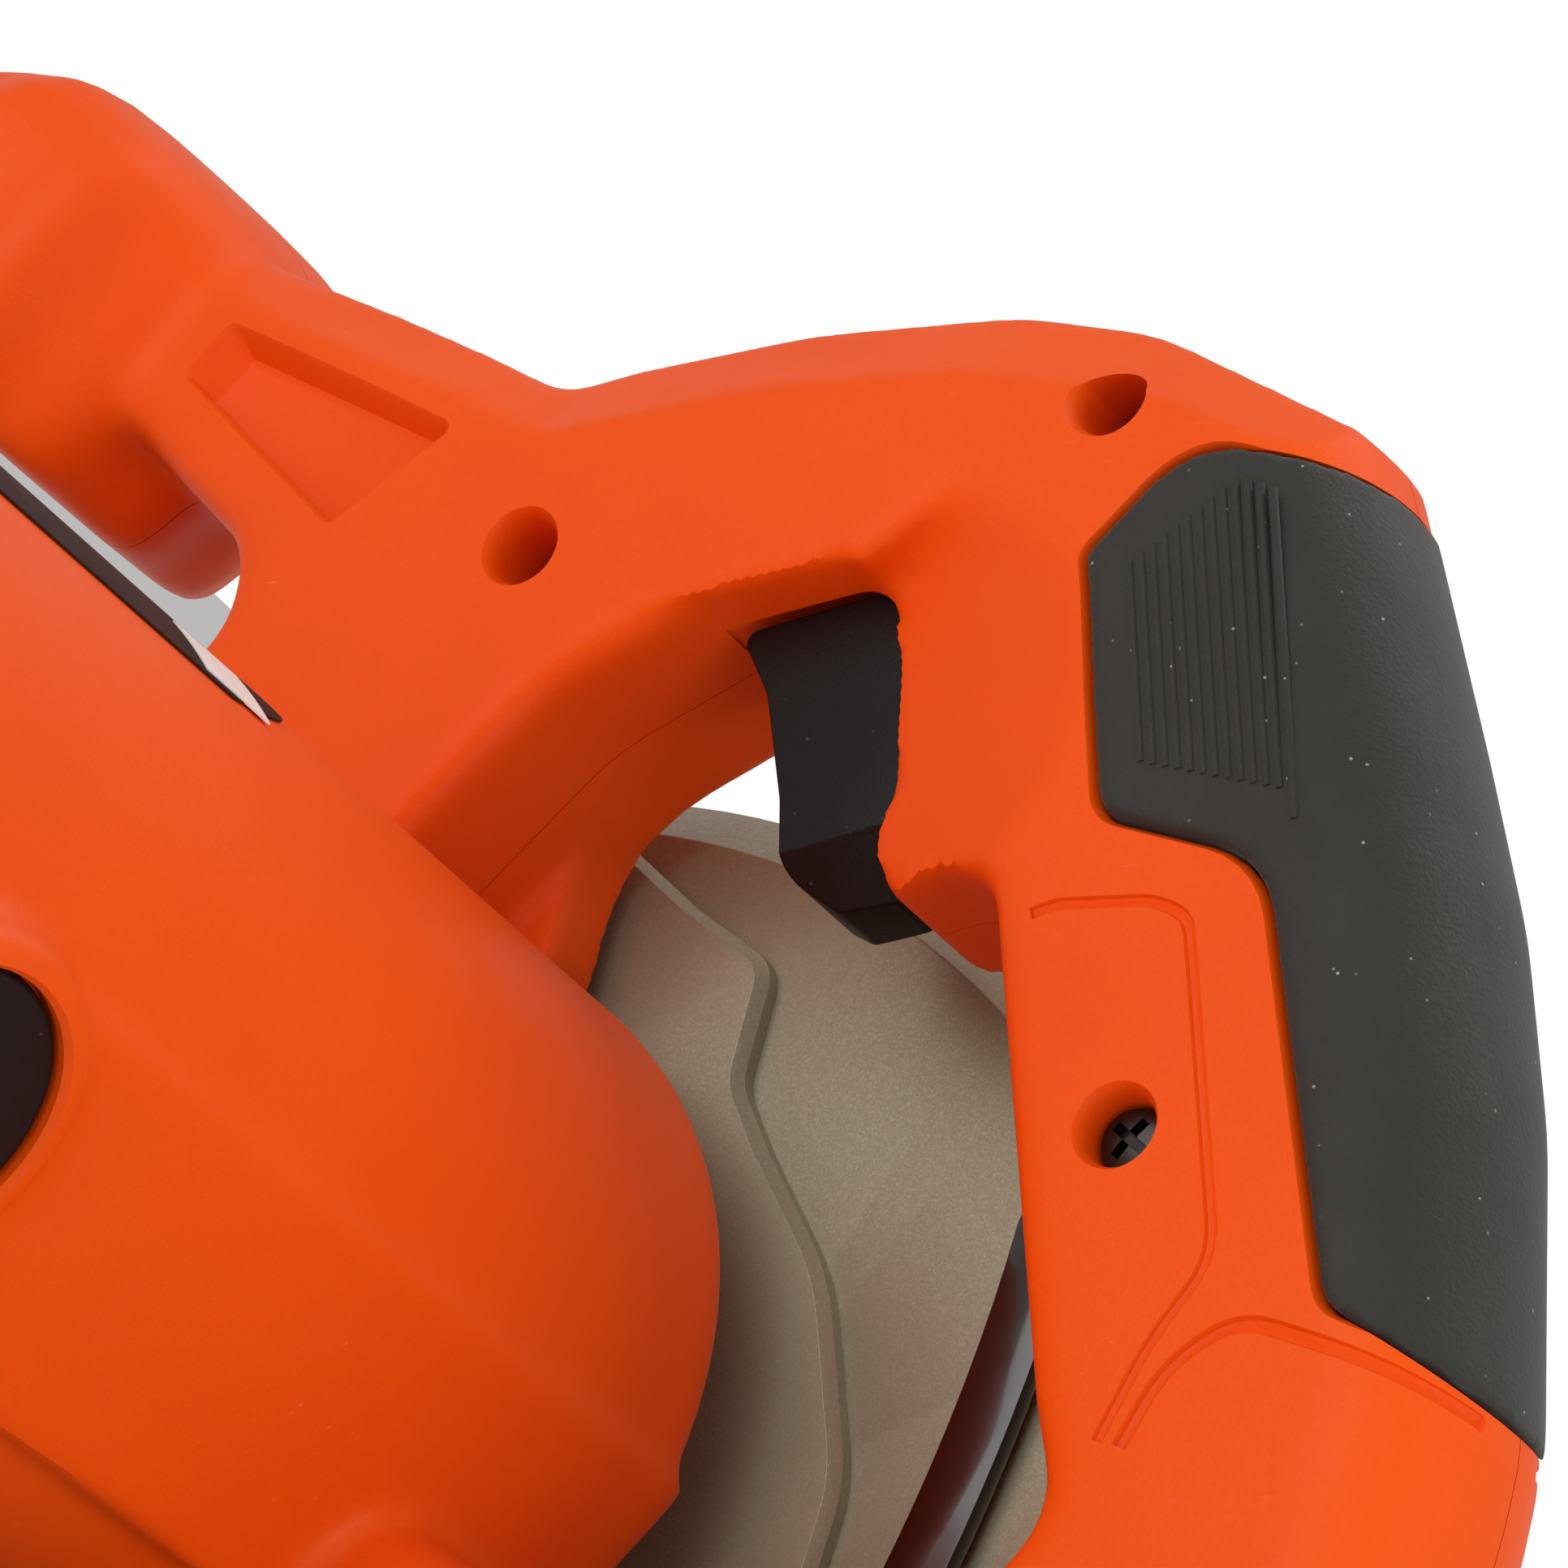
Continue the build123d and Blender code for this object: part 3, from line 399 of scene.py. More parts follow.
def mixed(tree: bpy.types.NodeTree, amount: object, first: object, second: object,
          blend: str = "MIX") -> bpy.types.NodeSocket:
    """Mix two colours and give the result's output."""
    node = add_node(tree, "ShaderNodeMix", {"data_type": "RGBA", "blend_type": blend},
                    {0: amount, 6: first, 7: second})
    return node.outputs[2]


def ranged(tree: bpy.types.NodeTree, value: object, low_in: float, high_in: float, low_out: float,
           high_out: float) -> bpy.types.NodeSocket:
    """Map a value from one range to another."""
    node = add_node(tree, "ShaderNodeMapRange", None, {
        "Value": value, "From Min": low_in, "From Max": high_in, "To Min": low_out, "To Max": high_out})
    return node.outputs["Result"]


def noise(tree: bpy.types.NodeTree, vector: object, size_mm: float, detail: float = 3.0,
          rough: float = 0.5) -> bpy.types.NodeSocket:
    """Noise whose blobs are about this many millimetres across."""
    node = add_node(tree, "ShaderNodeTexNoise", None, {
        "Vector": vector, "Scale": 1 / (size_mm * MM), "Detail": detail, "Roughness": rough})
    return node.outputs["Fac"]


@dataclass(frozen=True)
class Moulded:
    """A moulded polymer: even colour, fine eroded grain, handling marks and a little dust."""

    name: str
    colour: str
    shade: str
    roughness: float
    grain_mm: float = 0.45
    grain_height_mm: float = 0.02
    dust: float = 0.0
    dust_colour: str = "#D8D2C4"
    scuffs: float = 0.0
    ior: float = 1.53
    sheen: float = 0.0
    specular: float = 0.3

    def build(self) -> bpy.types.Material:
        """Make the material."""
        material, tree, shader, place = blank(self.name)
        shader.inputs["IOR"].default_value = self.ior
        shader.inputs["Sheen Weight"].default_value = self.sheen
        shader.inputs["Specular IOR Level"].default_value = self.specular
        clouds = noise(tree, place, 38.0, 2.0)
        grain = noise(tree, place, self.grain_mm, 2.0, 0.6)
        colour = mixed(tree, ranged(tree, clouds, 0.35, 0.7, 0.0, 0.55), linear(self.colour),
                       linear(self.shade))
        colour = mixed(tree, ranged(tree, grain, 0.35, 0.75, 0.0, 0.35), colour, linear(self.shade))
        roughness = ranged(tree, noise(tree, place, 9.0, 4.0), 0.3, 0.7, self.roughness - 0.04,
                           self.roughness + 0.05)
        if self.scuffs:
            colour = self._scuffed(tree, place, colour)
        if self.dust:
            colour = self._dusted(tree, place, colour)
        tree.links.new(colour, shader.inputs["Base Color"])
        tree.links.new(roughness, shader.inputs["Roughness"])
        bump = add_node(tree, "ShaderNodeBump", None, {
            "Height": grain, "Distance": self.grain_height_mm * MM * 6, "Strength": 0.35})
        tree.links.new(bump.outputs["Normal"], shader.inputs["Normal"])
        return material

    def _scuffed(self, tree: bpy.types.NodeTree, place: object, colour: object) -> bpy.types.NodeSocket:
        """Lay short pale rub marks over the colour."""
        stretched = add_node(tree, "ShaderNodeMapping", {"vector_type": "TEXTURE"}, {
            "Vector": place, "Rotation": (0.5, 0.7, 0.3), "Scale": (9.0, 1.0, 1.0)})
        marks = noise(tree, stretched.outputs["Vector"], 1.1, 3.0, 0.7)
        where = noise(tree, place, 22.0, 2.0)
        lines = ranged(tree, marks, 0.66, 0.74, 0.0, self.scuffs)
        patch = ranged(tree, where, 0.52, 0.68, 0.0, 1.0)
        both = add_node(tree, "ShaderNodeMath", {"operation": "MULTIPLY"}, {0: lines, 1: patch})
        return mixed(tree, both.outputs[0], colour, linear(self.dust_colour))

    def _dusted(self, tree: bpy.types.NodeTree, place: object, colour: object) -> bpy.types.NodeSocket:
        """Scatter pale specks, drawn coarser than real dust so that they show."""
        cells = add_node(tree, "ShaderNodeTexVoronoi", None, {"Vector": place, "Scale": 420.0})
        specks = ranged(tree, cells.outputs["Distance"], 0.09, 0.05, 0.0, self.dust)
        sparse = ranged(tree, noise(tree, place, 3.0, 1.0), 0.5, 0.6, 0.0, 1.0)
        both = add_node(tree, "ShaderNodeMath", {"operation": "MULTIPLY"}, {0: specks, 1: sparse})
        return mixed(tree, both.outputs[0], colour, linear(self.dust_colour))


@dataclass(frozen=True)
class CastPaint:
    """Metallic stoving paint on a die casting, in a soft satin film; the flakes' glint is painted into the
    colour as lighter specks.
    """

    name: str
    colour: str
    flake_glint: str
    roughness: float = 0.42
    metallic: float = 0.4

    def build(self) -> bpy.types.Material:
        """Make the material."""
        material, tree, shader, place = blank(self.name)
        shader.inputs["Metallic"].default_value = self.metallic
        shader.inputs["Coat Weight"].default_value = 0.12
        shader.inputs["Coat Roughness"].default_value = 0.3
        # real flakes are under 0.1 mm; these are drawn at 0.2 mm so that they show
        flakes = add_node(tree, "ShaderNodeTexVoronoi", None, {"Vector": place, "Scale": 1 / (0.2 * MM)})
        # painted glint: flake cells are lightened towards the second colour, as if they caught the light
        painted_flake_glint = ranged(tree, flakes.outputs["Color"], 0.4, 0.95, 0.0, 0.4)
        colour = mixed(tree, painted_flake_glint, linear(self.colour), linear(self.flake_glint))
        clouds = ranged(tree, noise(tree, place, 30.0, 3.0), 0.3, 0.7, 0.0, 0.12)
        colour = mixed(tree, clouds, colour, (0.02, 0.018, 0.015, 1.0))
        tree.links.new(colour, shader.inputs["Base Color"])
        roughness = ranged(tree, flakes.outputs["Color"], 0.0, 1.0, self.roughness + 0.08,
                           self.roughness - 0.08)
        tree.links.new(roughness, shader.inputs["Roughness"])
        bump = add_node(tree, "ShaderNodeBump", None, {
            "Height": flakes.outputs["Color"], "Distance": 0.03 * MM, "Strength": 0.3})
        tree.links.new(bump.outputs["Normal"], shader.inputs["Normal"])
        return material


class Working(Enum):
    """How a metal surface was made, and so which marks it carries."""

    BRUSHED = "brushed"
    TURNED = "turned"
    PLATED = "plated"
    LAMINATED = "laminated"
    WOUND = "wound"
    ENAMELLED = "enamelled"


@dataclass(frozen=True)
class Metal:
    """A worked metal surface; the marks follow the way it was made."""

    name: str
    colour: str
    shade: str
    roughness: float
    working: Working
    mark_mm: float = 0.4
    axis: tuple[float, float, float] = (0.0, 0.0, 0.0)
    metallic: float = 1.0

    def build(self) -> bpy.types.Material:
        """Make the material."""
        material, tree, shader, place = blank(self.name)
        shader.inputs["Metallic"].default_value = self.metallic
        if self.working is Working.ENAMELLED:
            shader.inputs["Coat Weight"].default_value = 0.6
            shader.inputs["Coat Roughness"].default_value = 0.08
        marks = self._marks(tree, place)
        clouds = noise(tree, place, 14.0, 4.0)
        colour = mixed(tree, ranged(tree, marks, 0.25, 0.8, 0.0, 0.6), linear(self.colour),
                       linear(self.shade))
        colour = mixed(tree, ranged(tree, clouds, 0.35, 0.75, 0.0, 0.35), colour, linear(self.shade))
        tree.links.new(colour, shader.inputs["Base Color"])
        wear = add_node(tree, "ShaderNodeMath", {"operation": "MULTIPLY_ADD"}, {
            0: marks, 1: 0.35, 2: ranged(tree, clouds, 0.3, 0.7, -0.12, 0.0)})
        roughness = ranged(tree, wear.outputs[0], 0.0, 0.35, max(self.roughness - 0.07, 0.04),
                           self.roughness + 0.1)
        tree.links.new(roughness, shader.inputs["Roughness"])
        bump = add_node(tree, "ShaderNodeBump", None, {
            "Height": marks, "Distance": 0.02 * MM * (8 if self.working is Working.WOUND else 1),
            "Strength": 0.3})
        tree.links.new(bump.outputs["Normal"], shader.inputs["Normal"])
        return material

    def _marks(self, tree: bpy.types.NodeTree, place: object) -> bpy.types.NodeSocket:
        """The pattern that the working left on the surface."""
        if self.working in (Working.PLATED, Working.ENAMELLED):
            return noise(tree, place, self.mark_mm * 3, 3.0)
        if self.working is Working.BRUSHED:
            along = add_node(tree, "ShaderNodeMapping", {"vector_type": "TEXTURE"}, {
                "Vector": place, "Scale": (60.0, 1.0, 1.0)})
            return noise(tree, along.outputs["Vector"], self.mark_mm, 3.0, 0.6)
        if self.working is Working.TURNED:
            centred = add_node(tree, "ShaderNodeMapping", None, {
                "Vector": place, "Location": tuple(-c * MM for c in self.axis), "Scale": (1.0, 0.0, 1.0)})
            radius = add_node(tree, "ShaderNodeVectorMath", {"operation": "LENGTH"},
                              {0: centred.outputs["Vector"]})
            line = add_node(tree, "ShaderNodeCombineXYZ", None, {"X": radius.outputs["Value"]})
            return noise(tree, line.outputs["Vector"], self.mark_mm, 4.0, 0.7)
        lines = add_node(tree, "ShaderNodeTexWave", {"bands_direction": "Y", "wave_profile": "SIN"}, {
            "Vector": place, "Scale": 0.314 / (self.mark_mm * MM), "Distortion": 0.4, "Detail": 1.0})
        return lines.outputs["Fac"]


# Moulded ABS: warm, slightly glossy orange with a fine spark-eroded grain
ORANGE_ABS = Moulded("moulded_orange_abs", "#EC5206", "#E24A04", 0.46, scuffs=0.12, specular=0.14)
# Overmoulded thermoplastic rubber: dark green-black, matt, holds dust
GRIP_RUBBER = Moulded("overmoulded_tpe_rubber", "#282620", "#1E1C18", 0.62, 0.55, 0.05, dust=0.8,
                      dust_colour="#A8A18C", sheen=0.12)
# Glass-filled nylon: brown-black with a satin skin
DARK_NYLON = Moulded("moulded_dark_nylon", "#150E0C", "#0F0A09", 0.42, 0.4, 0.02, specular=0.16, dust=0.25,
                     dust_colour="#8A7A70")
# Phenolic fan: dull black
FAN_PHENOLIC = Moulded("moulded_fan_phenolic", "#2B2724", "#201D1B", 0.5)
# Printed polyester label: smooth dark brown film
LABEL_FILM = Moulded("printed_label_film", "#38241F", "#2C1C18", 0.6, 0.8, 0.004, specular=0.05)
# Blank white panel of the label
LABEL_WHITE = Moulded("printed_label_panel", "#E9E6E0", "#DAD6CE", 0.35, 0.8, 0.004)
# Carbon brushes: pressed graphite
CARBON = Moulded("pressed_carbon", "#1C1C1D", "#131314", 0.55, 0.6)
# Champagne-grey metallic paint on die-cast aluminium, with the flakes' glint painted in as lighter specks
GUARD_PAINT = CastPaint("metallic_paint_on_casting", "#9A967C", "#C2BEA6")
# Stamped lower guard, bright zinc plate
ZINC_GUARD = Metal("zinc_plated_guard_steel", "#B9BBBA", "#8E9192", 0.34, Working.BRUSHED, 0.5)
# Stoved black enamel on pressed steel: deep and glossy
BLACK_ENAMEL = Metal("black_enamel_on_steel", "#140B0A", "#1E1110", 0.2, Working.ENAMELLED, 0.8,
                     metallic=0.0)
# Pressed shoe plate, nickel bright with rolling marks
SHOE_STEEL = Metal("nickel_plated_shoe_steel", "#C4C3BD", "#9B9A95", 0.28, Working.BRUSHED, 0.6)
# Blade: ground steel, rings about the bore
BLADE_STEEL = Metal("ground_blade_steel", "#B8BABD", "#8C8F94", 0.26, Working.TURNED, 0.35,
                    (0.0, 0.0, SPINDLE_Z))
# Screws, pins and shafts, zinc plated
PLATED_STEEL = Metal("zinc_plated_hardware", "#A9A9A6", "#7C7D7D", 0.32, Working.PLATED)
# Handle screws: blackened steel
BLACK_OXIDE = Metal("black_oxide_screws", "#4A4845", "#2A2827", 0.36, Working.PLATED)
# Stamped laminations of stator and armature
LAMINATED_IRON = Metal("laminated_iron", "#77787A", "#46474A", 0.45, Working.LAMINATED, 0.6)
# Enamelled copper windings
COPPER_WIRE = Metal("enamelled_copper_wire", "#B4622F", "#7C3C1B", 0.34, Working.WOUND, 0.9)
# Brass brush tubes
BRASS = Metal("drawn_brass", "#C9A24E", "#94702D", 0.3, Working.BRUSHED, 0.5)

BY_SLOT: dict[str, Moulded | CastPaint | Metal] = {
    "orange_shell": ORANGE_ABS, "grip_rubber": GRIP_RUBBER, "dark_plastic": DARK_NYLON,
    "guard_paint": GUARD_PAINT, "lower_guard_steel": ZINC_GUARD, "black_enamel": BLACK_ENAMEL,
    "shoe_steel": SHOE_STEEL, "blade_steel": BLADE_STEEL, "hardware": PLATED_STEEL,
    "label_film": LABEL_FILM, "laminated_iron": LAMINATED_IRON, "copper_wire": COPPER_WIRE,
    "brush_brass": BRASS, "carbon": CARBON, "fan_plastic": FAN_PHENOLIC,
}


class Wardrobe:
    """Builds each finish once and dresses pieces with it."""

    def __init__(self) -> None:
        """Start with no material made."""
        self._made: dict[str, bpy.types.Material] = {}

    def dress(self, piece: bpy.types.Object, finish: Moulded | CastPaint | Metal) -> None:
        """Give a piece one finish all over."""
        if finish.name not in self._made:
            self._made[finish.name] = finish.build()
        piece.data.materials.clear()
        piece.data.materials.append(self._made[finish.name])


WARDROBE = Wardrobe()


def install(piece: bpy.types.Object, body: str, finish: Moulded | CastPaint | Metal, slot: str,
            *nodes: str) -> None:
    """Dress a new piece, hang it on its body and let it stand for CAD nodes.

    Args:
        piece: the finished mesh.
        body: the CAD body it moves with.
        finish: its material.
        slot: the record's material slot; not used.
        nodes: the CAD nodes it replaces.
    """
    WARDROBE.dress(piece, finish)
    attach(piece, body)
    if nodes:
        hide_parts(*nodes)
    LOG.info("%s: %d faces on %s", piece.name, len(piece.data.polygons), body)


# ------------------------------------------------------------------ handle
HANDLE_OUTLINE = outline(
    (77.5, 62, 0), (77.5, 96, 8), (84, 103.3, 8), (114, 104.6, 0, Edge.PLAIN),
    (114, 129, 0, Edge.NARROW_FACET), (69.8, 139.2, 7, Edge.FACET), (65.2, 144.4, 12, Edge.FACET),
    (48.3, 161, 60, Edge.FACET), (28.8, 176, 30, Edge.FACET), (13.8, 183.2, 25, Edge.NARROW_FACET),
    (-16.8, 188.7, 4, Edge.BACK), (-44.4, 172.2, 60, Edge.BACK), (-61.6, 161.5, 60, Edge.BACK),
    (-79, 148, 60, Edge.BACK), (-106, 122.2, 45, Edge.BACK),
    (-128, 84, 30, Edge.BACK), (-128, 46, 8), (-79.5, 46, 8), (-79.5, 89, 9), (-70, 95, 20),
    (-23.5, 129.8, 6), (-15.5, 127.2, 5), (-11.5, 121.8, 1.2, Edge.PLAIN), (-6, 123.9, 2, Edge.PLAIN),
    (-3.4, 126.6, 2, Edge.PLAIN), (-2.2, 129.9, 1, Edge.PLAIN), (8, 139.8, 4, Edge.PLAIN),
    (17, 145.6, 2.5, Edge.PLAIN), (29, 131.8, 6), (36.6, 114, 20), (37.6, 96, 20),
    (37.6, 62, 0, Edge.PLAIN))
PAD_OUTLINE = outline(
    (-6.2, 160.5, 2), (-6.8, 175, 10), (-24, 187), (-30, 196), (-75, 176), (-134, 126), (-112, 125.8, 6),
    (-88, 121, 4), (-48, 149.4, 12), (-29.5, 141.9, 4), (-19, 150.2, 10), (-9.5, 158, 2))
FOOT_FLANGE = outline((38.5, 108, 3), (36, 101, 8), (31, 93.4, 3), (29, 70), (46, 70), (46, 108))


@dataclass
class Handle:
    """The two handle shells with the front knob, the rubber pad and the screws."""

    half: float = HANDLE_HALF
    facet: float = 11.4
    narrow_facet: float = 8.0
    back_depth: float = 14.0
    edge_round: float = 4.0
    facet_start: float = 7.6
    voxel_mm: float = 1.0
    joint_gap: float = 0.08
    pad_gap: float = 0.3
    pad_lip: float = 0.9
    pad_proud: float = 0.45
    rib_count: int = 13
    rib_pitch: float = 1.33
    rib_radius: float = 0.5
    rib_sunk: float = 0.2
    knob_centre: tuple[float, float] = (139.0, 0.0)
    knob_half: tuple[float, float] = (31.0, 34.0)
    knob_lobes: int = 12
    knob_profile: tuple[tuple[float, float, float], ...] = (
        (0.78, 92.6, 0.0), (0.90, 93.0, 0.0), (0.96, 95.0, 0.0), (0.99, 100.0, 0.0), (1.0, 105.0, 1.0),
        (0.995, 111.0, 3.0), (0.98, 116.5, 5.0), (0.94, 121.8, 6.6), (0.86, 126.2, 7.0),
        (0.74, 129.2, 6.2), (0.64, 130.2, 4.8), (0.5, 131.0, 2.4), (0.3, 131.4, 0.6), (0.12, 131.5, 0.0))
    screw_spots: tuple[Point, ...] = ((51.5, 123.3), (5.7, 174.1), (-56.3, 120.2), (-104, 66), (60, 78))
    seat_y: float = 5.0
    slot_half: float = 8.6

    def insets(self, y: float) -> dict[Edge, float]:
        """How far each kind of edge has moved in at this distance from the parting plane."""
        y = abs(y)
        slope = max(0.0, y - self.facet_start) / (self.half - self.facet_start)
        lift = max(0.0, y - (self.half - self.edge_round)) / self.edge_round
        arc = 1 - sqrt(max(0.0, 1 - lift * lift))
        bulge = 1 - sqrt(max(0.0, 1 - (y / self.half) ** 2))
        return {Edge.FACET: self.facet * slope, Edge.NARROW_FACET: self.narrow_facet * slope,
                Edge.ROUND: self.edge_round * 0.8 * arc, Edge.BACK: self.back_depth * bulge}

    def body(self) -> bpy.types.Object:
        """Both halves in one: grip, box, arm and strut with their facets, and the knob."""
        steps = [0, 4, 7.6, 9.5, 11.5, 12.5, 13.5, 14.5, 15.3, 15.9, 16.3, self.half]
        levels = [-y for y in reversed(steps[1:])] + steps
        body = loft("handle_body", [HANDLE_OUTLINE.ring(y, self.insets(y)) for y in levels])
        combine(body, self.knob(), "UNION")
        combine(body, self.collar(), "UNION")
        flange = prism("foot_flange", FOOT_FLANGE, -self.half - 0.3, BARREL_Y0 + 1)
        combine(body, flange, "UNION")
        for side in (1, -1):
            combine(body, self.switch_side(side), "DIFFERENCE")
        apply(body, "REMESH", mode="VOXEL", voxel_size=self.voxel_mm * MM)
        apply(body, "SMOOTH", factor=0.5, iterations=7)
        self.soften_neck(body)
        return body

    def knob(self) -> bpy.types.Object:
        """The front knob, a flattened bulb with shallow finger lobes."""
        cx, cy = self.knob_centre
        rings = []
        for share, z, drop in self.knob_profile:
            ring = []
            for turn in turns(96):
                lobe = 1 + 0.026 * cos(self.knob_lobes * turn) * min(1.0, (132.5 - z) / 9)
                front = min(1.0, max(0.0, 1.25 * cos(turn)))
                ring.append(Vector((cx + self.knob_half[0] * share * lobe * cos(turn),
                                    cy + self.knob_half[1] * share * lobe * sin(turn), z - drop * front)))
            rings.append(ring)
        return loft("front_knob", rings)

    def collar(self) -> bpy.types.Object:
        """The flare where the strut grows out of the knob."""
        rings = []
        for x, spread, z0, z1 in ((98, 15.5, 105, 128), (106, 16.4, 104.2, 127.5), (112, 19.5, 103, 127),
                                  (118, 25, 101, 126), (124, 29, 99, 125)):
            middle, tall = (z0 + z1) / 2, (z1 - z0) / 2
            ring = []
            for turn in turns(32):
                square = max(abs(cos(turn)), abs(sin(turn))) ** -0.55
                ring.append(Vector((x, spread * square * cos(turn) * 0.86,
                                    middle + tall * square * sin(turn) * 0.86)))
            rings.append(ring)
        return loft("strut_flare", rings)

    def switch_side(self, side: int) -> bpy.types.Object:
        """The wedge taken off the switch box, down to the trigger's side face."""
        near = ((17.5, 141), (15.8, 147.2), (4.2, 138.4), (-3.4, 130.2), (-5.2, 126.4), (-7.6, 124.2),
                (-12.8, 121.2), (-8, 108), (14, 126))
        far = ((17, 138), (12, 160), (-8, 160), (-19, 150), (-23, 142), (-24, 135), (-23, 126),
               (-10, 102), (20, 124))
        return loft("switch_side_wedge", [
            [Vector((x, side * 9.3, z)) for x, z in near],
            [Vector((x, side * (self.half + 0.6), z)) for x, z in far]])

    def soften_neck(self, body: bpy.types.Object) -> None:
        """Relax the concave corners where strut, knob and arm meet."""
        group = body.vertex_groups.new(name="neck")
        spots = ((Vector((110, 0, 116)), 14.0, 34.0), (Vector((72, 0, 134)), 9.0, 12.0),
                 (Vector((80, 0, 102)), 8.0, 12.0), (Vector((8, 0, 155)), 13.0, 12.0))
        for vertex in body.data.vertices:
            place = vertex.co / MM
            best = 0.0
            for centre, reach, tall in spots:
                flat = abs(place.x - centre.x) / reach
                if abs(place.z - centre.z) < tall:
                    best = max(best, 1 - flat)
            if best > 0:
                group.add([vertex.index], best, "REPLACE")
        apply(body, "SMOOTH", factor=0.6, iterations=40, vertex_group="neck")

    def pad_prism(self, grow: float, flare: float = 0.0) -> bpy.types.Object:
        """The region of the grip that the rubber covers.

        Args:
            grow: how much larger than the pad it is.
            flare: how much wider it opens at the grip's sides, for a broken edge.

        Returns:
            The region as a solid across the grip.
        """
        levels = ((self.half + 4, flare), (self.half + 0.3, flare), (self.half - 1.2, 0.0))
        rings = [PAD_OUTLINE.ring(-y, grow=grow + wide) for y, wide in levels]
        rings += [PAD_OUTLINE.ring(y, grow=grow + wide) for y, wide in reversed(levels)]
        return loft("pad_region", rings)

    def screw_cutters(self) -> list[bpy.types.Object]:
        """Stepped holes down to the screw heads, with a broken edge."""
        return [turned("screw_hole", x, z, [(4.0, self.seat_y), (4.0, 15.4), (4.7, 16.6), (4.7, 22)], 40)
                for x, z in self.screw_spots]

    def long_screw(self) -> bpy.types.Object:
        """The cross-head screw that stands high in the lower hole."""
        x, z = self.screw_spots[2]
        profile = [(2.2, self.seat_y + 0.2), (2.2, 10.6), (3.7, 10.6), (3.7, 12.0), (3.3, 12.7),
                   (2.2, 13.1), (0.9, 13.25)]
        head = turned("grip_screw_head", x, z, profile, 40)
        corners = ((-1, -1), (1, -1), (1, 1), (-1, 1))
        for wide, deep in ((2.3, 0.55), (0.55, 2.3)):
            rings = [[Vector((x + dx * wide, y, z + dz * deep)) for dx, dz in corners]
                     for y in (11.6, 14.0)]
            combine(head, loft("cross_recess", rings), "DIFFERENCE")
        smooth(head, 35)
        return head

    def strut_pocket(self, side: int) -> bpy.types.Object:
        """The sunk panel in the side of the strut, with sloping walls."""
        shape = outline((105, 120.4, 1), (70.2, 128.2, 1, Edge.TOE), (74.3, 111.5, 1, Edge.PLAIN),
                        (105, 112.9, 1, Edge.FACET))
        rings = []
        for y, sunk, grow in ((12.5, 1.0, -0.5), (12.8, 0.92, -0.1), (16.0, 0.08, 0.0),
                              (16.7, 0.0, 0.5), (20.0, 0.0, 1.0)):
            insets = {Edge.ROUND: 1.9 * sunk, Edge.TOE: 1.6 * sunk, Edge.PLAIN: -0.4 * sunk,
                      Edge.FACET: 2.6 * sunk}
            rings.append(shape.ring(side * y, insets, grow))
        return loft("strut_pocket", rings)

    def grooves(self, body: bpy.types.Object) -> list[bpy.types.Object]:
        """The fine lines pressed into the grip's side round the lower screw."""
        paths = (
            (0.7, ((-31.5, 130, 0), (-33, 132.3, 2), (-41.6, 138.9, 5), (-46, 140.0, 3), (-51, 136.2, 3),
                   (-75.4, 117.2, 4), (-76.2, 107.6, 6), (-79.5, 97, 0))),
            (0.9, ((-81.8, 98, 0), (-79.6, 106.5, 5), (-82, 114.6, 6), (-99.7, 121.4, 20),
                   (-108, 123.8, 0))))
        tree = BVHTree.FromPolygons([v.co for v in body.data.vertices],
                                    [p.vertices for p in body.data.polygons])
        tools = []
        for radius, path in paths:
            for side in (1, -1):
                route = self.on_surface(tree, open_path(path), side)
                tools.append(tube("panel_groove", route, radius))
        return tools

    def on_surface(self, tree: BVHTree, path: list[Point], side: int) -> list[Vector]:
        """Drop an (x, z) path onto the side of the body."""
        route, last = [], self.half - 1
        outside, least = 40, 4
        for x, z in path:
            hit = tree.ray_cast(Vector((x, side * outside, z)) * MM, Vector((0, -side, 0)))[0]
            if hit is not None and hit.y * side / MM > least:
                last = hit.y * side / MM
            route.append(Vector((x, side * last, z)))
        return route

    def trigger_slot(self) -> list[bpy.types.Object]:
        """The slot that the trigger slides up into, with play round its whole travel."""
        shape = outline((29.6, 131.2), (25.5, 139), (15, 152), (8, 156), (-6, 147), (-6.6, 139), (-3.8, 129),
                        (3, 124), (20, 126))
        tools = [prism("trigger_slot", shape, -self.slot_half, self.slot_half)]
        for travel in (0.0, 2.0, 4.0, 6.3):
            moved = Outline(tuple(Corner(c.x + PULL_X * travel, c.z + PULL_Z * travel, c.radius, c.edge)
                                  for c in TRIGGER_OUTLINE.corners))
            tools.append(prism("trigger_room", moved, -self.slot_half, self.slot_half, 0.6))
        return tools

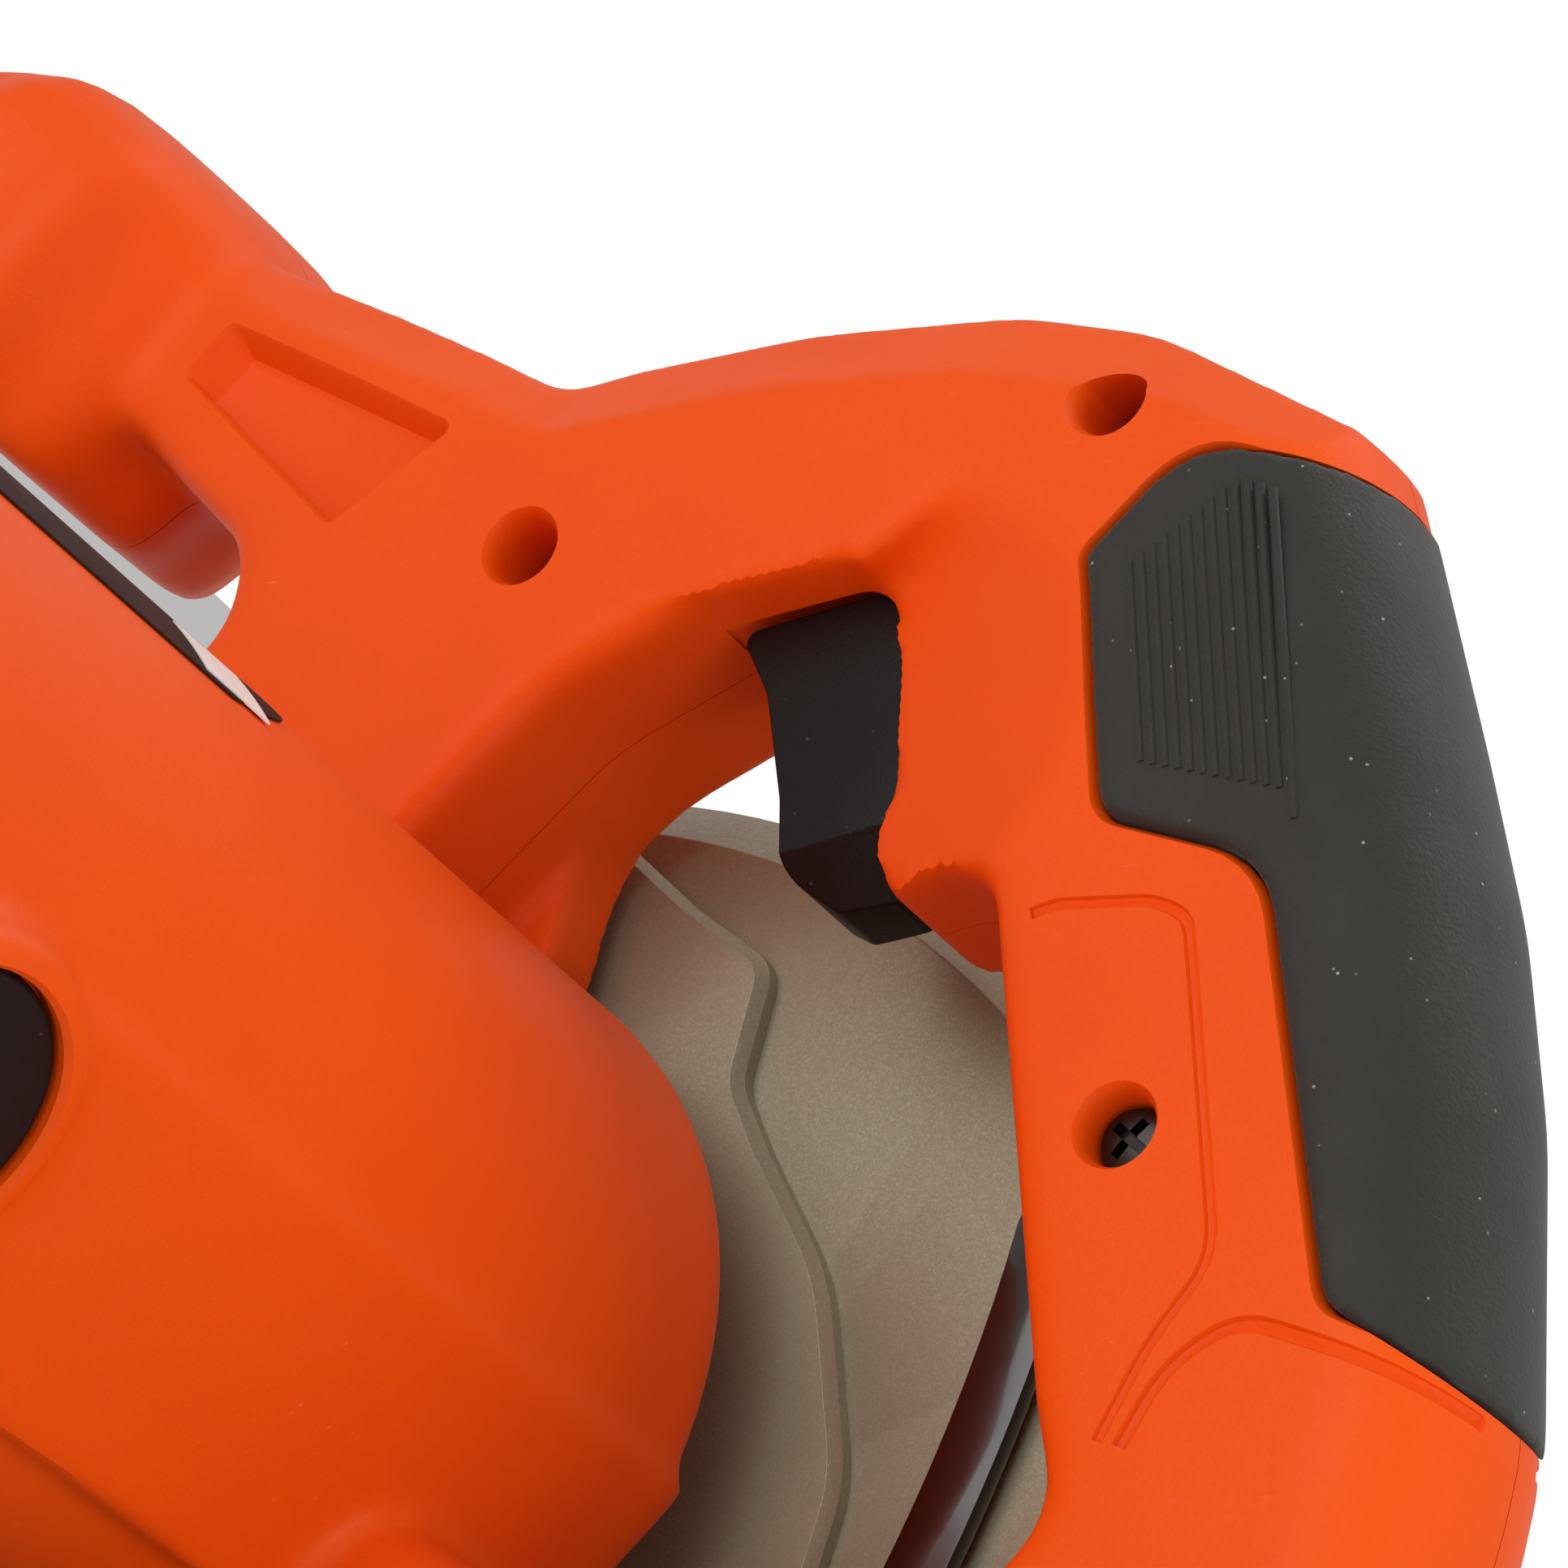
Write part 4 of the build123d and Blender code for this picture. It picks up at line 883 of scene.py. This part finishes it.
    def build(self) -> None:
        """Make shells, pad, ribs and screws and put them in place."""
        body = self.body()
        pad = self.make_pad(body)
        combine(body, self.pad_prism(self.pad_gap, self.pad_lip), "DIFFERENCE")
        tools = [self.strut_pocket(1), self.strut_pocket(-1)] + self.grooves(body)
        for tool in tools:
            combine(body, tool, "DIFFERENCE")
        for tool in self.trigger_slot():
            combine(body, tool, "DIFFERENCE")
        motor = Motor()
        barrel = loft("barrel_room", [motor.section(0.4 + grow, BARREL_Y0 - 0.3 + y) for grow, y in
                                      (*motor.end_round, (0.0, 60.0))])
        combine(body, barrel, "DIFFERENCE")
        right = copied(body, "handle_shell_right")
        left = body
        left.name = "handle_shell_left"
        for shell, side in ((left, 1), (right, -1)):
            self.halve(shell, side)
            smooth(shell, 32)
        for hole in self.screw_cutters():
            combine(left, hole, "DIFFERENCE")
        smooth(left, 32)
        install(left, "housing", ORANGE_ABS, "orange_shell", "handle_left")
        install(right, "housing", ORANGE_ABS, "orange_shell", "handle_right")
        install(self.long_screw(), "housing", BLACK_OXIDE, "hardware")
        install(pad, "housing", GRIP_RUBBER, "grip_rubber", "grip_pad")
        for side in (1, -1):
            install(self.ribs(side), "housing", GRIP_RUBBER, "grip_rubber")

    def halve(self, shell: bpy.types.Object, side: int) -> None:
        """Cut the body at the parting plane and close the cut."""
        pick(shell)
        bpy.ops.object.mode_set(mode="EDIT")
        bpy.ops.mesh.select_all(action="SELECT")
        bpy.ops.mesh.bisect(plane_co=(0, side * self.joint_gap * MM, 0), plane_no=(0, side, 0),
                            use_fill=True, clear_inner=True)
        bpy.ops.object.mode_set(mode="OBJECT")

    def make_pad(self, body: bpy.types.Object) -> bpy.types.Object:
        """The rubber saddle over the back of the grip, a touch proud of the shell."""
        pad = copied(body, "grip_pad_rubber")
        apply(pad, "DISPLACE", strength=self.pad_proud * MM, mid_level=0.0)
        combine(pad, self.pad_prism(0.0), "INTERSECT")
        apply(pad, "REMESH", mode="VOXEL", voxel_size=0.75 * MM)
        apply(pad, "SMOOTH", factor=0.5, iterations=3)
        smooth(pad, 60)
        return pad

    def ribs(self, side: int) -> bpy.types.Object:
        """Fine grip ribs in a slanted patch on the side of the pad."""
        along = Vector((-0.78, 0.0, -0.625))
        across = Vector((0.625, 0.0, -0.78))
        first = Vector((-18.7, side * (self.half + self.pad_proud - self.rib_sunk), 177.3))
        bars = []
        for i in range(self.rib_count):
            off = i * self.rib_pitch
            # the patch's upper end follows the pad's corner, its lower end the pad's edge
            start = -0.7 * off if off < 3.6 else -2.5 + 0.49 * (off - 3.6)
            end = 37.6 if i == 0 else 34.5 - 0.5 * off
            route = [first + across * off + along * (start + (end - start) * k / 6) for k in range(7)]
            bars.append(tube("grip_rib", route, self.rib_radius, 8))
        ribs = joined(bars)
        ribs.name = "grip_ribs_left" if side > 0 else "grip_ribs_right"
        smooth(ribs, 50)
        return ribs


def open_path(corners: tuple[tuple[float, float, float], ...], step: float = 1.2) -> list[Point]:
    """An open path through (x, z, radius) corners, rounded and divided evenly.

    Args:
        corners: the corners with the radius of each.
        step: the distance between points, in mm.

    Returns:
        The points of the path.
    """
    spots: list[Vector] = []
    for i, (x, z, radius) in enumerate(corners):
        here = Vector((x, z))
        if radius <= 0 or i in (0, len(corners) - 1):
            spots.append(here)
            continue
        back = Vector(corners[i - 1][:2]) - here
        ahead = Vector(corners[i + 1][:2]) - here
        reach = min(radius, 0.45 * back.length, 0.45 * ahead.length)
        start, end = here + back.normalized() * reach, here + ahead.normalized() * reach
        spots += [start.lerp(here, t).lerp(here.lerp(end, t), t) for t in (0, 0.2, 0.4, 0.6, 0.8, 1)]
    path: list[Point] = []
    for a, b in zip(spots, spots[1:]):
        pieces = max(1, ceil((b - a).length / step))
        path += [tuple(a.lerp(b, k / pieces)) for k in range(pieces)]
    path.append(tuple(spots[-1]))
    return path


def tube(name: str, route: list[Vector], radius: float, sides: int = 8) -> bpy.types.Object:
    """A thin round bar along a route that stays roughly upright in X-Z."""
    rings = []
    for i, place in enumerate(route):
        ahead = (route[min(i + 1, len(route) - 1)] - route[max(i - 1, 0)]).normalized()
        flat = ahead.cross(Vector((0, 1, 0))).normalized()
        rise = flat.cross(ahead).normalized()
        rings.append([place + flat * (radius * cos(a)) + rise * (radius * sin(a)) for a in turns(sides)])
    return loft(name, rings)


# ------------------------------------------------------------------ trigger
TRIGGER_OUTLINE = outline(
    (28, 131.8, 1.5), (17.5, 144.5, 0), (12, 151, 1), (2, 143, 1), (-2, 133, 2), (-3.5, 126.8, 2),
    (-8.2, 122.4, 1), (-3.4, 117.2, 2), (3, 116.3, 5), (9.3, 121.8, 8), (20, 129, 5))


@dataclass
class Trigger:
    """The switch trigger: a straight lever whose toe tapers on both sides."""

    half: float = 8.0
    edge_round: float = 1.5
    crease: tuple[float, float] = (4.1, 118.1)
    toe_slope: tuple[float, float] = (-0.488, -0.383)

    def build(self) -> None:
        """Make the trigger and hang it on its own body."""
        piece = prism("trigger_lever", TRIGGER_OUTLINE, -self.half, self.half)
        pick(piece)
        bpy.ops.object.mode_set(mode="EDIT")
        for side in (1, -1):
            bpy.ops.mesh.select_all(action="SELECT")
            bpy.ops.mesh.bisect(plane_co=(self.crease[0] * MM, side * self.half * MM, self.crease[1] * MM),
                                plane_no=(self.toe_slope[0], side, self.toe_slope[1]),
                                use_fill=True, clear_outer=True)
        bpy.ops.object.mode_set(mode="OBJECT")
        recalculate(piece)
        apply(piece, "BEVEL", width=self.edge_round * MM, segments=4, limit_method="ANGLE",
              angle_limit=radians(14), use_clamp_overlap=True)
        smooth(piece, 50)
        install(piece, "trigger", DARK_NYLON, "dark_plastic", "trigger")


# ------------------------------------------------------------------ motor
@dataclass
class Motor:
    """The motor barrel with its brush bosses and tail, and the label on it."""

    radius: float = BARREL_R
    wall: float = 3.0
    flat_x: float = 45.2
    crease_above: float = 17.0
    crease_below: float = 20.0
    crease_radius: float = 48.9
    voxel_mm: float = 1.25
    boss_ring: float = 3.2
    label_y: tuple[float, float] = (69.0, 137.0)
    label_turn: tuple[float, float] = (80.0, 103.5)
    end_round: tuple[Point, ...] = ((-4.5, 0.0), (-2.6, 0.35), (-1.3, 1.2), (-0.35, 2.7), (0.0, 4.5))
    sag: tuple[float, float] = (0.6, -3.2)
    slot_count: int = 7
    slot_first_z: float = 23.8
    slot_pitch: float = 8.0

    def centre(self, y: float) -> Point:
        """The barrel's middle: it drops a little towards the gear case."""
        share = min(1.0, max(0.0, 1 - y / BARREL_Y1))
        return MOTOR_X + self.sag[0] * share, MOTOR_Z + self.sag[1] * share

    def section(self, grow: float, y: float) -> list[Vector]:
        """The barrel's cross-section: round, with a flat band on its rear side."""
        upper = atan2(self.crease_above, -self.flat_x)
        lower = atan2(-self.crease_below, -self.flat_x) + 2 * pi
        ring = []
        cx, cz = self.centre(y)
        for turn in turns(128):
            radius = self.radius
            if upper <= turn <= lower:
                radius = min(self.flat_x / max(-cos(turn), 0.3), self.crease_radius)
            radius += grow
            ring.append(Vector((cx + radius * cos(turn), y, cz + radius * sin(turn))))
        return ring

    def build(self) -> None:
        """Make the housing and its label."""
        levels = [(grow, BARREL_Y0 + y) for grow, y in self.end_round]
        levels += [(0.0, y) for y in range(0, int(BARREL_Y1), 12)] + [(0.0, BARREL_Y1)]
        housing = loft("motor_barrel", [self.section(grow, y) for grow, y in levels])
        for side in (-1, 1):
            combine(housing, self.boss(side), "UNION")
        combine(housing, self.tail(), "UNION")
        apply(housing, "REMESH", mode="VOXEL", voxel_size=self.voxel_mm * MM)
        apply(housing, "SMOOTH", factor=0.5, iterations=6)
        bore = loft("motor_bore", [circle(*self.centre(y), self.radius - self.wall, y, 96)
                                   for y in (2, BARREL_Y1, BARREL_Y1 + 4)])
        combine(housing, bore, "DIFFERENCE")
        for side in (-1, 1):
            combine(housing, self.cap_recess(side), "DIFFERENCE")
        combine(housing, self.slots(), "DIFFERENCE")
        smooth(housing, 32)
        install(housing, "housing", ORANGE_ABS, "orange_shell", "motor_housing")
        self.label()

    def along_x(self, name: str, side: int, profile: list[Point], y: float) -> bpy.types.Object:
        """A round solid pointing out of the barrel's side, from (radius, distance) pairs."""
        return loft(name, [
            [Vector((MOTOR_X + side * reach, y + radius * cos(a), MOTOR_Z + radius * sin(a)))
             for a in turns(64)] for radius, reach in profile])

    def boss(self, side: int) -> bpy.types.Object:
        """The raised ring round a brush cap."""
        outer = BRUSH_CAP_R + self.boss_ring
        return self.along_x("brush_boss", side, [(outer + 1.2, 30), (outer + 0.6, 45.6), (outer, 47.2),
                                                 (outer - 1.2, 47.8), (8, 47.8)], BRUSH_Y)

    def cap_recess(self, side: int) -> bpy.types.Object:
        """The round seat of a brush cap, with a broken edge."""
        seat = BRUSH_CAP_R + 0.4
        return self.along_x("cap_seat", side, [(9.2, 38), (9.2, 44), (seat, 44), (seat, 47.0),
                                               (seat + 0.8, 48.0), (seat + 0.8, 52)], BRUSH_Y)

    def tail(self) -> bpy.types.Object:
        """The tail that carries the rear foot of the handle."""
        shape = Outline((Corner(-20, 14), Corner(-20, 46, 0), Corner(-124, 46, 7), Corner(-124, 14, 9)), 9)
        steps = ((0.0, -1.9), (0.0, 24.0), (0.8, 27.0), (2.6, 29.8), (5.0, 31.3), (8.0, 32.0))
        return loft("housing_tail", [shape.ring(y, {Edge.ROUND: grow}) for grow, y in steps])

    def slots(self) -> bpy.types.Object:
        """Cooling slots in the front of the barrel beside the fan."""
        middle_y, half_length, radius = 8.0, 3.4, 1.8
        bars = []
        for i in range(self.slot_count):
            z = self.slot_first_z + self.slot_pitch * i
            rings = []
            for x in (MOTOR_X + 20, MOTOR_X + 60):
                ring = []
                for turn in turns(20):
                    reach = half_length if cos(turn) > 0 else -half_length
                    ring.append(Vector((x, middle_y + reach + radius * cos(turn), z + radius * sin(turn))))
                rings.append(ring)
            bars.append(loft("vent_slot", rings))
        return joined(bars)

    def strip(self, name: str, y_range: Point, turn_range: Point, lift: float,
              tip: float) -> bpy.types.Object:
        """A thin film that follows the barrel, with an optional pointed end.

        Args:
            name: the piece's name.
            y_range: its ends along the barrel.
            turn_range: its edges, in degrees round the barrel.
            lift: its height above the barrel, in mm.
            tip: the length of the pointed end, in mm.

        Returns:
            The film, 0.2 mm thick.
        """
        clear_selection()
        columns, rows = 14, 60
        bpy.ops.mesh.primitive_grid_add(x_subdivisions=columns, y_subdivisions=rows, size=1)
        film = bpy.context.object
        film.name = name
        middle = (turn_range[0] + turn_range[1]) / 2
        half = (turn_range[1] - turn_range[0]) / 2
        radius = (self.radius + lift) * MM
        for vertex in film.data.vertices:
            share = vertex.co.y + 0.5
            y = y_range[0] + (y_range[1] - y_range[0]) * share
            narrow = min(1.0, (y - y_range[0] + 0.4) / tip) ** 0.6 if tip else 1.0
            turn = radians(middle + 2 * half * vertex.co.x * narrow)
            cx, cz = self.centre(y)
            vertex.co = (cx * MM + radius * cos(turn), y * MM, cz * MM + radius * sin(turn))
        recalculate(film)
        apply(film, "SOLIDIFY", thickness=0.2 * MM, offset=0.0)
        smooth(film, 40)
        return film

    def label(self) -> None:
        """The dark rating label, left blank, with its white panel."""
        film = self.strip("rating_label", self.label_y, self.label_turn, 0.22, 16.0)
        install(film, "housing", LABEL_FILM, "label_film", "spec_label")
        panel = self.strip("rating_label_panel", (78.0, 89.5), (93.2, 102.6), 0.36, 0.0)
        install(panel, "housing", LABEL_WHITE, "label_film")


# ------------------------------------------------------------------ pressed and machined pieces
@dataclass(frozen=True)
class Broken:
    """A CAD node redrawn with its edges broken, as a press or a lathe leaves them."""

    node: str
    width_mm: float
    segments: int = 2
    angle: float = 30.0

    def build(self, body: str, slot: str) -> None:
        """Make the softened copy and let it stand for the node."""
        source = frame["nodes"][self.node]
        piece = copied(source, f"{self.node}_finished")
        pick(piece)
        bpy.ops.object.mode_set(mode="EDIT")
        bpy.ops.mesh.select_all(action="SELECT")
        bpy.ops.mesh.remove_doubles(threshold=0.002 * MM)
        bpy.ops.mesh.dissolve_limited(angle_limit=radians(1.0))
        bpy.ops.object.mode_set(mode="OBJECT")
        apply(piece, "BEVEL", width=self.width_mm * MM, segments=self.segments, limit_method="ANGLE",
              angle_limit=radians(self.angle), use_clamp_overlap=True, harden_normals=False)
        smooth(piece, 35)
        finish = BLACK_OXIDE if self.node == "handle_screws" else BY_SLOT[slot]
        install(piece, body, finish, slot, self.node)


BROKEN_EDGES = (
    Broken("upper_guard", 1.2, 3, 20), Broken("gear_case", 2.6, 5, 25), Broken("lower_guard", 0.4),
    Broken("depth_quadrant", 0.6), Broken("shoe", 0.6), Broken("front_bracket", 0.6),
    Broken("bevel_plate", 0.4), Broken("motor_end_cover", 0.7, 3), Broken("brush_caps", 0.5),
    Broken("guard_lever", 0.4), Broken("guard_lever_knob", 0.6), Broken("depth_lever", 1.2, 3),
    Broken("bevel_knob", 0.9, 3), Broken("fence_screw", 0.5), Broken("outer_flange", 0.4),
    Broken("inner_flange", 0.4), Broken("blade_bolt", 0.4), Broken("depth_bolt", 0.5),
    Broken("depth_pivot_pin", 0.5), Broken("cord_gland", 0.6), Broken("spindle_lock_button", 0.5),
    Broken("guard_screws", 0.3), Broken("handle_screws", 0.2), Broken("motor_screws", 0.2),
    Broken("blade", 0.15, 1),
)


@dataclass
class Metalwork:
    """Everything pressed, cast or turned, and the plain inner pieces."""

    broken: tuple[Broken, ...] = BROKEN_EDGES

    def build(self, replaced: set[str]) -> None:
        """Finish every CAD node that no new piece has replaced.

        Args:
            replaced: nodes that already have a new piece.
        """
        slots = {row["node"]: row["material_slot"] for row in frame["record"]["subparts"]}
        bodies = {node: obj["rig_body"] for node, obj in frame["nodes"].items()}
        for item in self.broken:
            item.build(bodies[item.node], slots[item.node])
            replaced.add(item.node)
        self.trigger_spring(slots["trigger_spring"])
        replaced.add("trigger_spring")
        for node, piece in frame["nodes"].items():
            if node not in replaced:
                WARDROBE.dress(piece, BY_SLOT[slots[node]])
                LOG.info("%s: CAD node in %s", node, slots[node])

    def trigger_spring(self, slot: str) -> None:
        """Copy the trigger's return spring and hang it on the housing.

        Args:
            slot: the record's material slot of the spring.
        """
        coil = copied(frame["nodes"]["trigger_spring"], "trigger_spring_coil")
        install(coil, "housing", BY_SLOT[slot], slot, "trigger_spring")
        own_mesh(coil)


# ------------------------------------------------------------------ stage
@dataclass
class Stage:
    """Floor, soft lights and the camera."""

    look: tuple[float, float, float] = (0.6428, -0.7660, 0.0)
    image_right: tuple[float, float, float] = (-0.5693, -0.4777, 0.6691)
    centre: tuple[float, float, float] = (-3.5, 24.2, 123.3)
    distance: float = 800.0
    lens: float = 184.85
    floor_size: float = 8.0
    ambient: float = 0.55

    def build(self) -> None:
        """Make the camera, lights, world and floor."""
        look, right = Vector(self.look), Vector(self.image_right)
        up = right.cross(look)
        self.camera(look, right, up)
        self.floor()
        target = Vector(self.centre) * MM
        self.softbox("key_softbox", target, -look * 0.75 + up * 0.75 - right * 0.45, 0.9, 5.8)
        self.softbox("fill_softbox", target, -look * 0.8 + right * 0.7 - up * 0.5, 1.1, 7.0)
        self.softbox("top_softbox", target, Vector((0.1, -0.3, 1.2)), 1.0, 5.0)
        self.world()
        bpy.context.scene.view_settings.view_transform = "Standard"

    def world(self) -> None:
        """A white surround to look at, and a dimmer one to light and reflect."""
        world = bpy.data.worlds.new("pale_studio")
        bpy.context.scene.world = world
        world.use_nodes = True
        tree = world.node_tree
        seen = add_node(tree, "ShaderNodeLightPath").outputs["Is Camera Ray"]
        tree.nodes["Background"].inputs["Color"].default_value = (1.0, 1.0, 1.0, 1.0)
        tree.links.new(ranged(tree, seen, 0.0, 1.0, self.ambient, 1.0),
                       tree.nodes["Background"].inputs["Strength"])

    def camera(self, look: Vector, right: Vector, up: Vector) -> None:
        """Aim the camera from behind the motor side, rolled as the saw lies."""
        data = bpy.data.cameras.new("studio_camera")
        camera = bpy.data.objects.new("studio_camera", data)
        bpy.context.scene.collection.objects.link(camera)
        data.lens = self.lens
        data.clip_start, data.clip_end = 0.05, 60.0
        place = (Vector(self.centre) - look * self.distance) * MM
        camera.matrix_world = Matrix((
            (right.x, up.x, -look.x, place.x), (right.y, up.y, -look.y, place.y),
            (right.z, up.z, -look.z, place.z), (0, 0, 0, 1)))
        bpy.context.scene.camera = camera

    def floor(self) -> None:
        """A wide pale floor under the lowest point."""
        clear_selection()
        bpy.ops.mesh.primitive_grid_add(x_subdivisions=2, y_subdivisions=2, size=self.floor_size,
                                        location=(0, 0, CAD_BOX[0].z))
        floor = bpy.context.object
        floor.name = "studio_floor"
        material, tree, shader, place = blank("pale_floor_paint")
        colour = mixed(tree, noise(tree, place, 300.0), linear("#F4F3F1"), linear("#EFEEEC"))
        tree.links.new(colour, shader.inputs["Base Color"])
        shader.inputs["Roughness"].default_value = 0.9
        floor.data.materials.append(material)

    def softbox(self, name: str, target: Vector, offset: Vector, size: float, power: float) -> None:
        """One square area light aimed at the target."""
        data = bpy.data.lights.new(name, "AREA")
        data.shape, data.size, data.energy = "SQUARE", size, power
        lamp = bpy.data.objects.new(name, data)
        bpy.context.scene.collection.objects.link(lamp)
        lamp.location = target + offset
        lamp.rotation_mode = "QUATERNION"
        lamp.rotation_quaternion = (-offset).to_track_quat("-Z", "Y")


def main() -> None:
    """Build the saw's looks in order."""
    logging.basicConfig(level=logging.INFO, format="%(name)s: %(message)s")
    Stage().build()
    Handle().build()
    Trigger().build()
    Motor().build()
    Metalwork().build({"handle_left", "handle_right", "grip_pad", "trigger", "motor_housing",
                       "spec_label"})
    clear_selection()


if __name__ == "__main__":
    main()
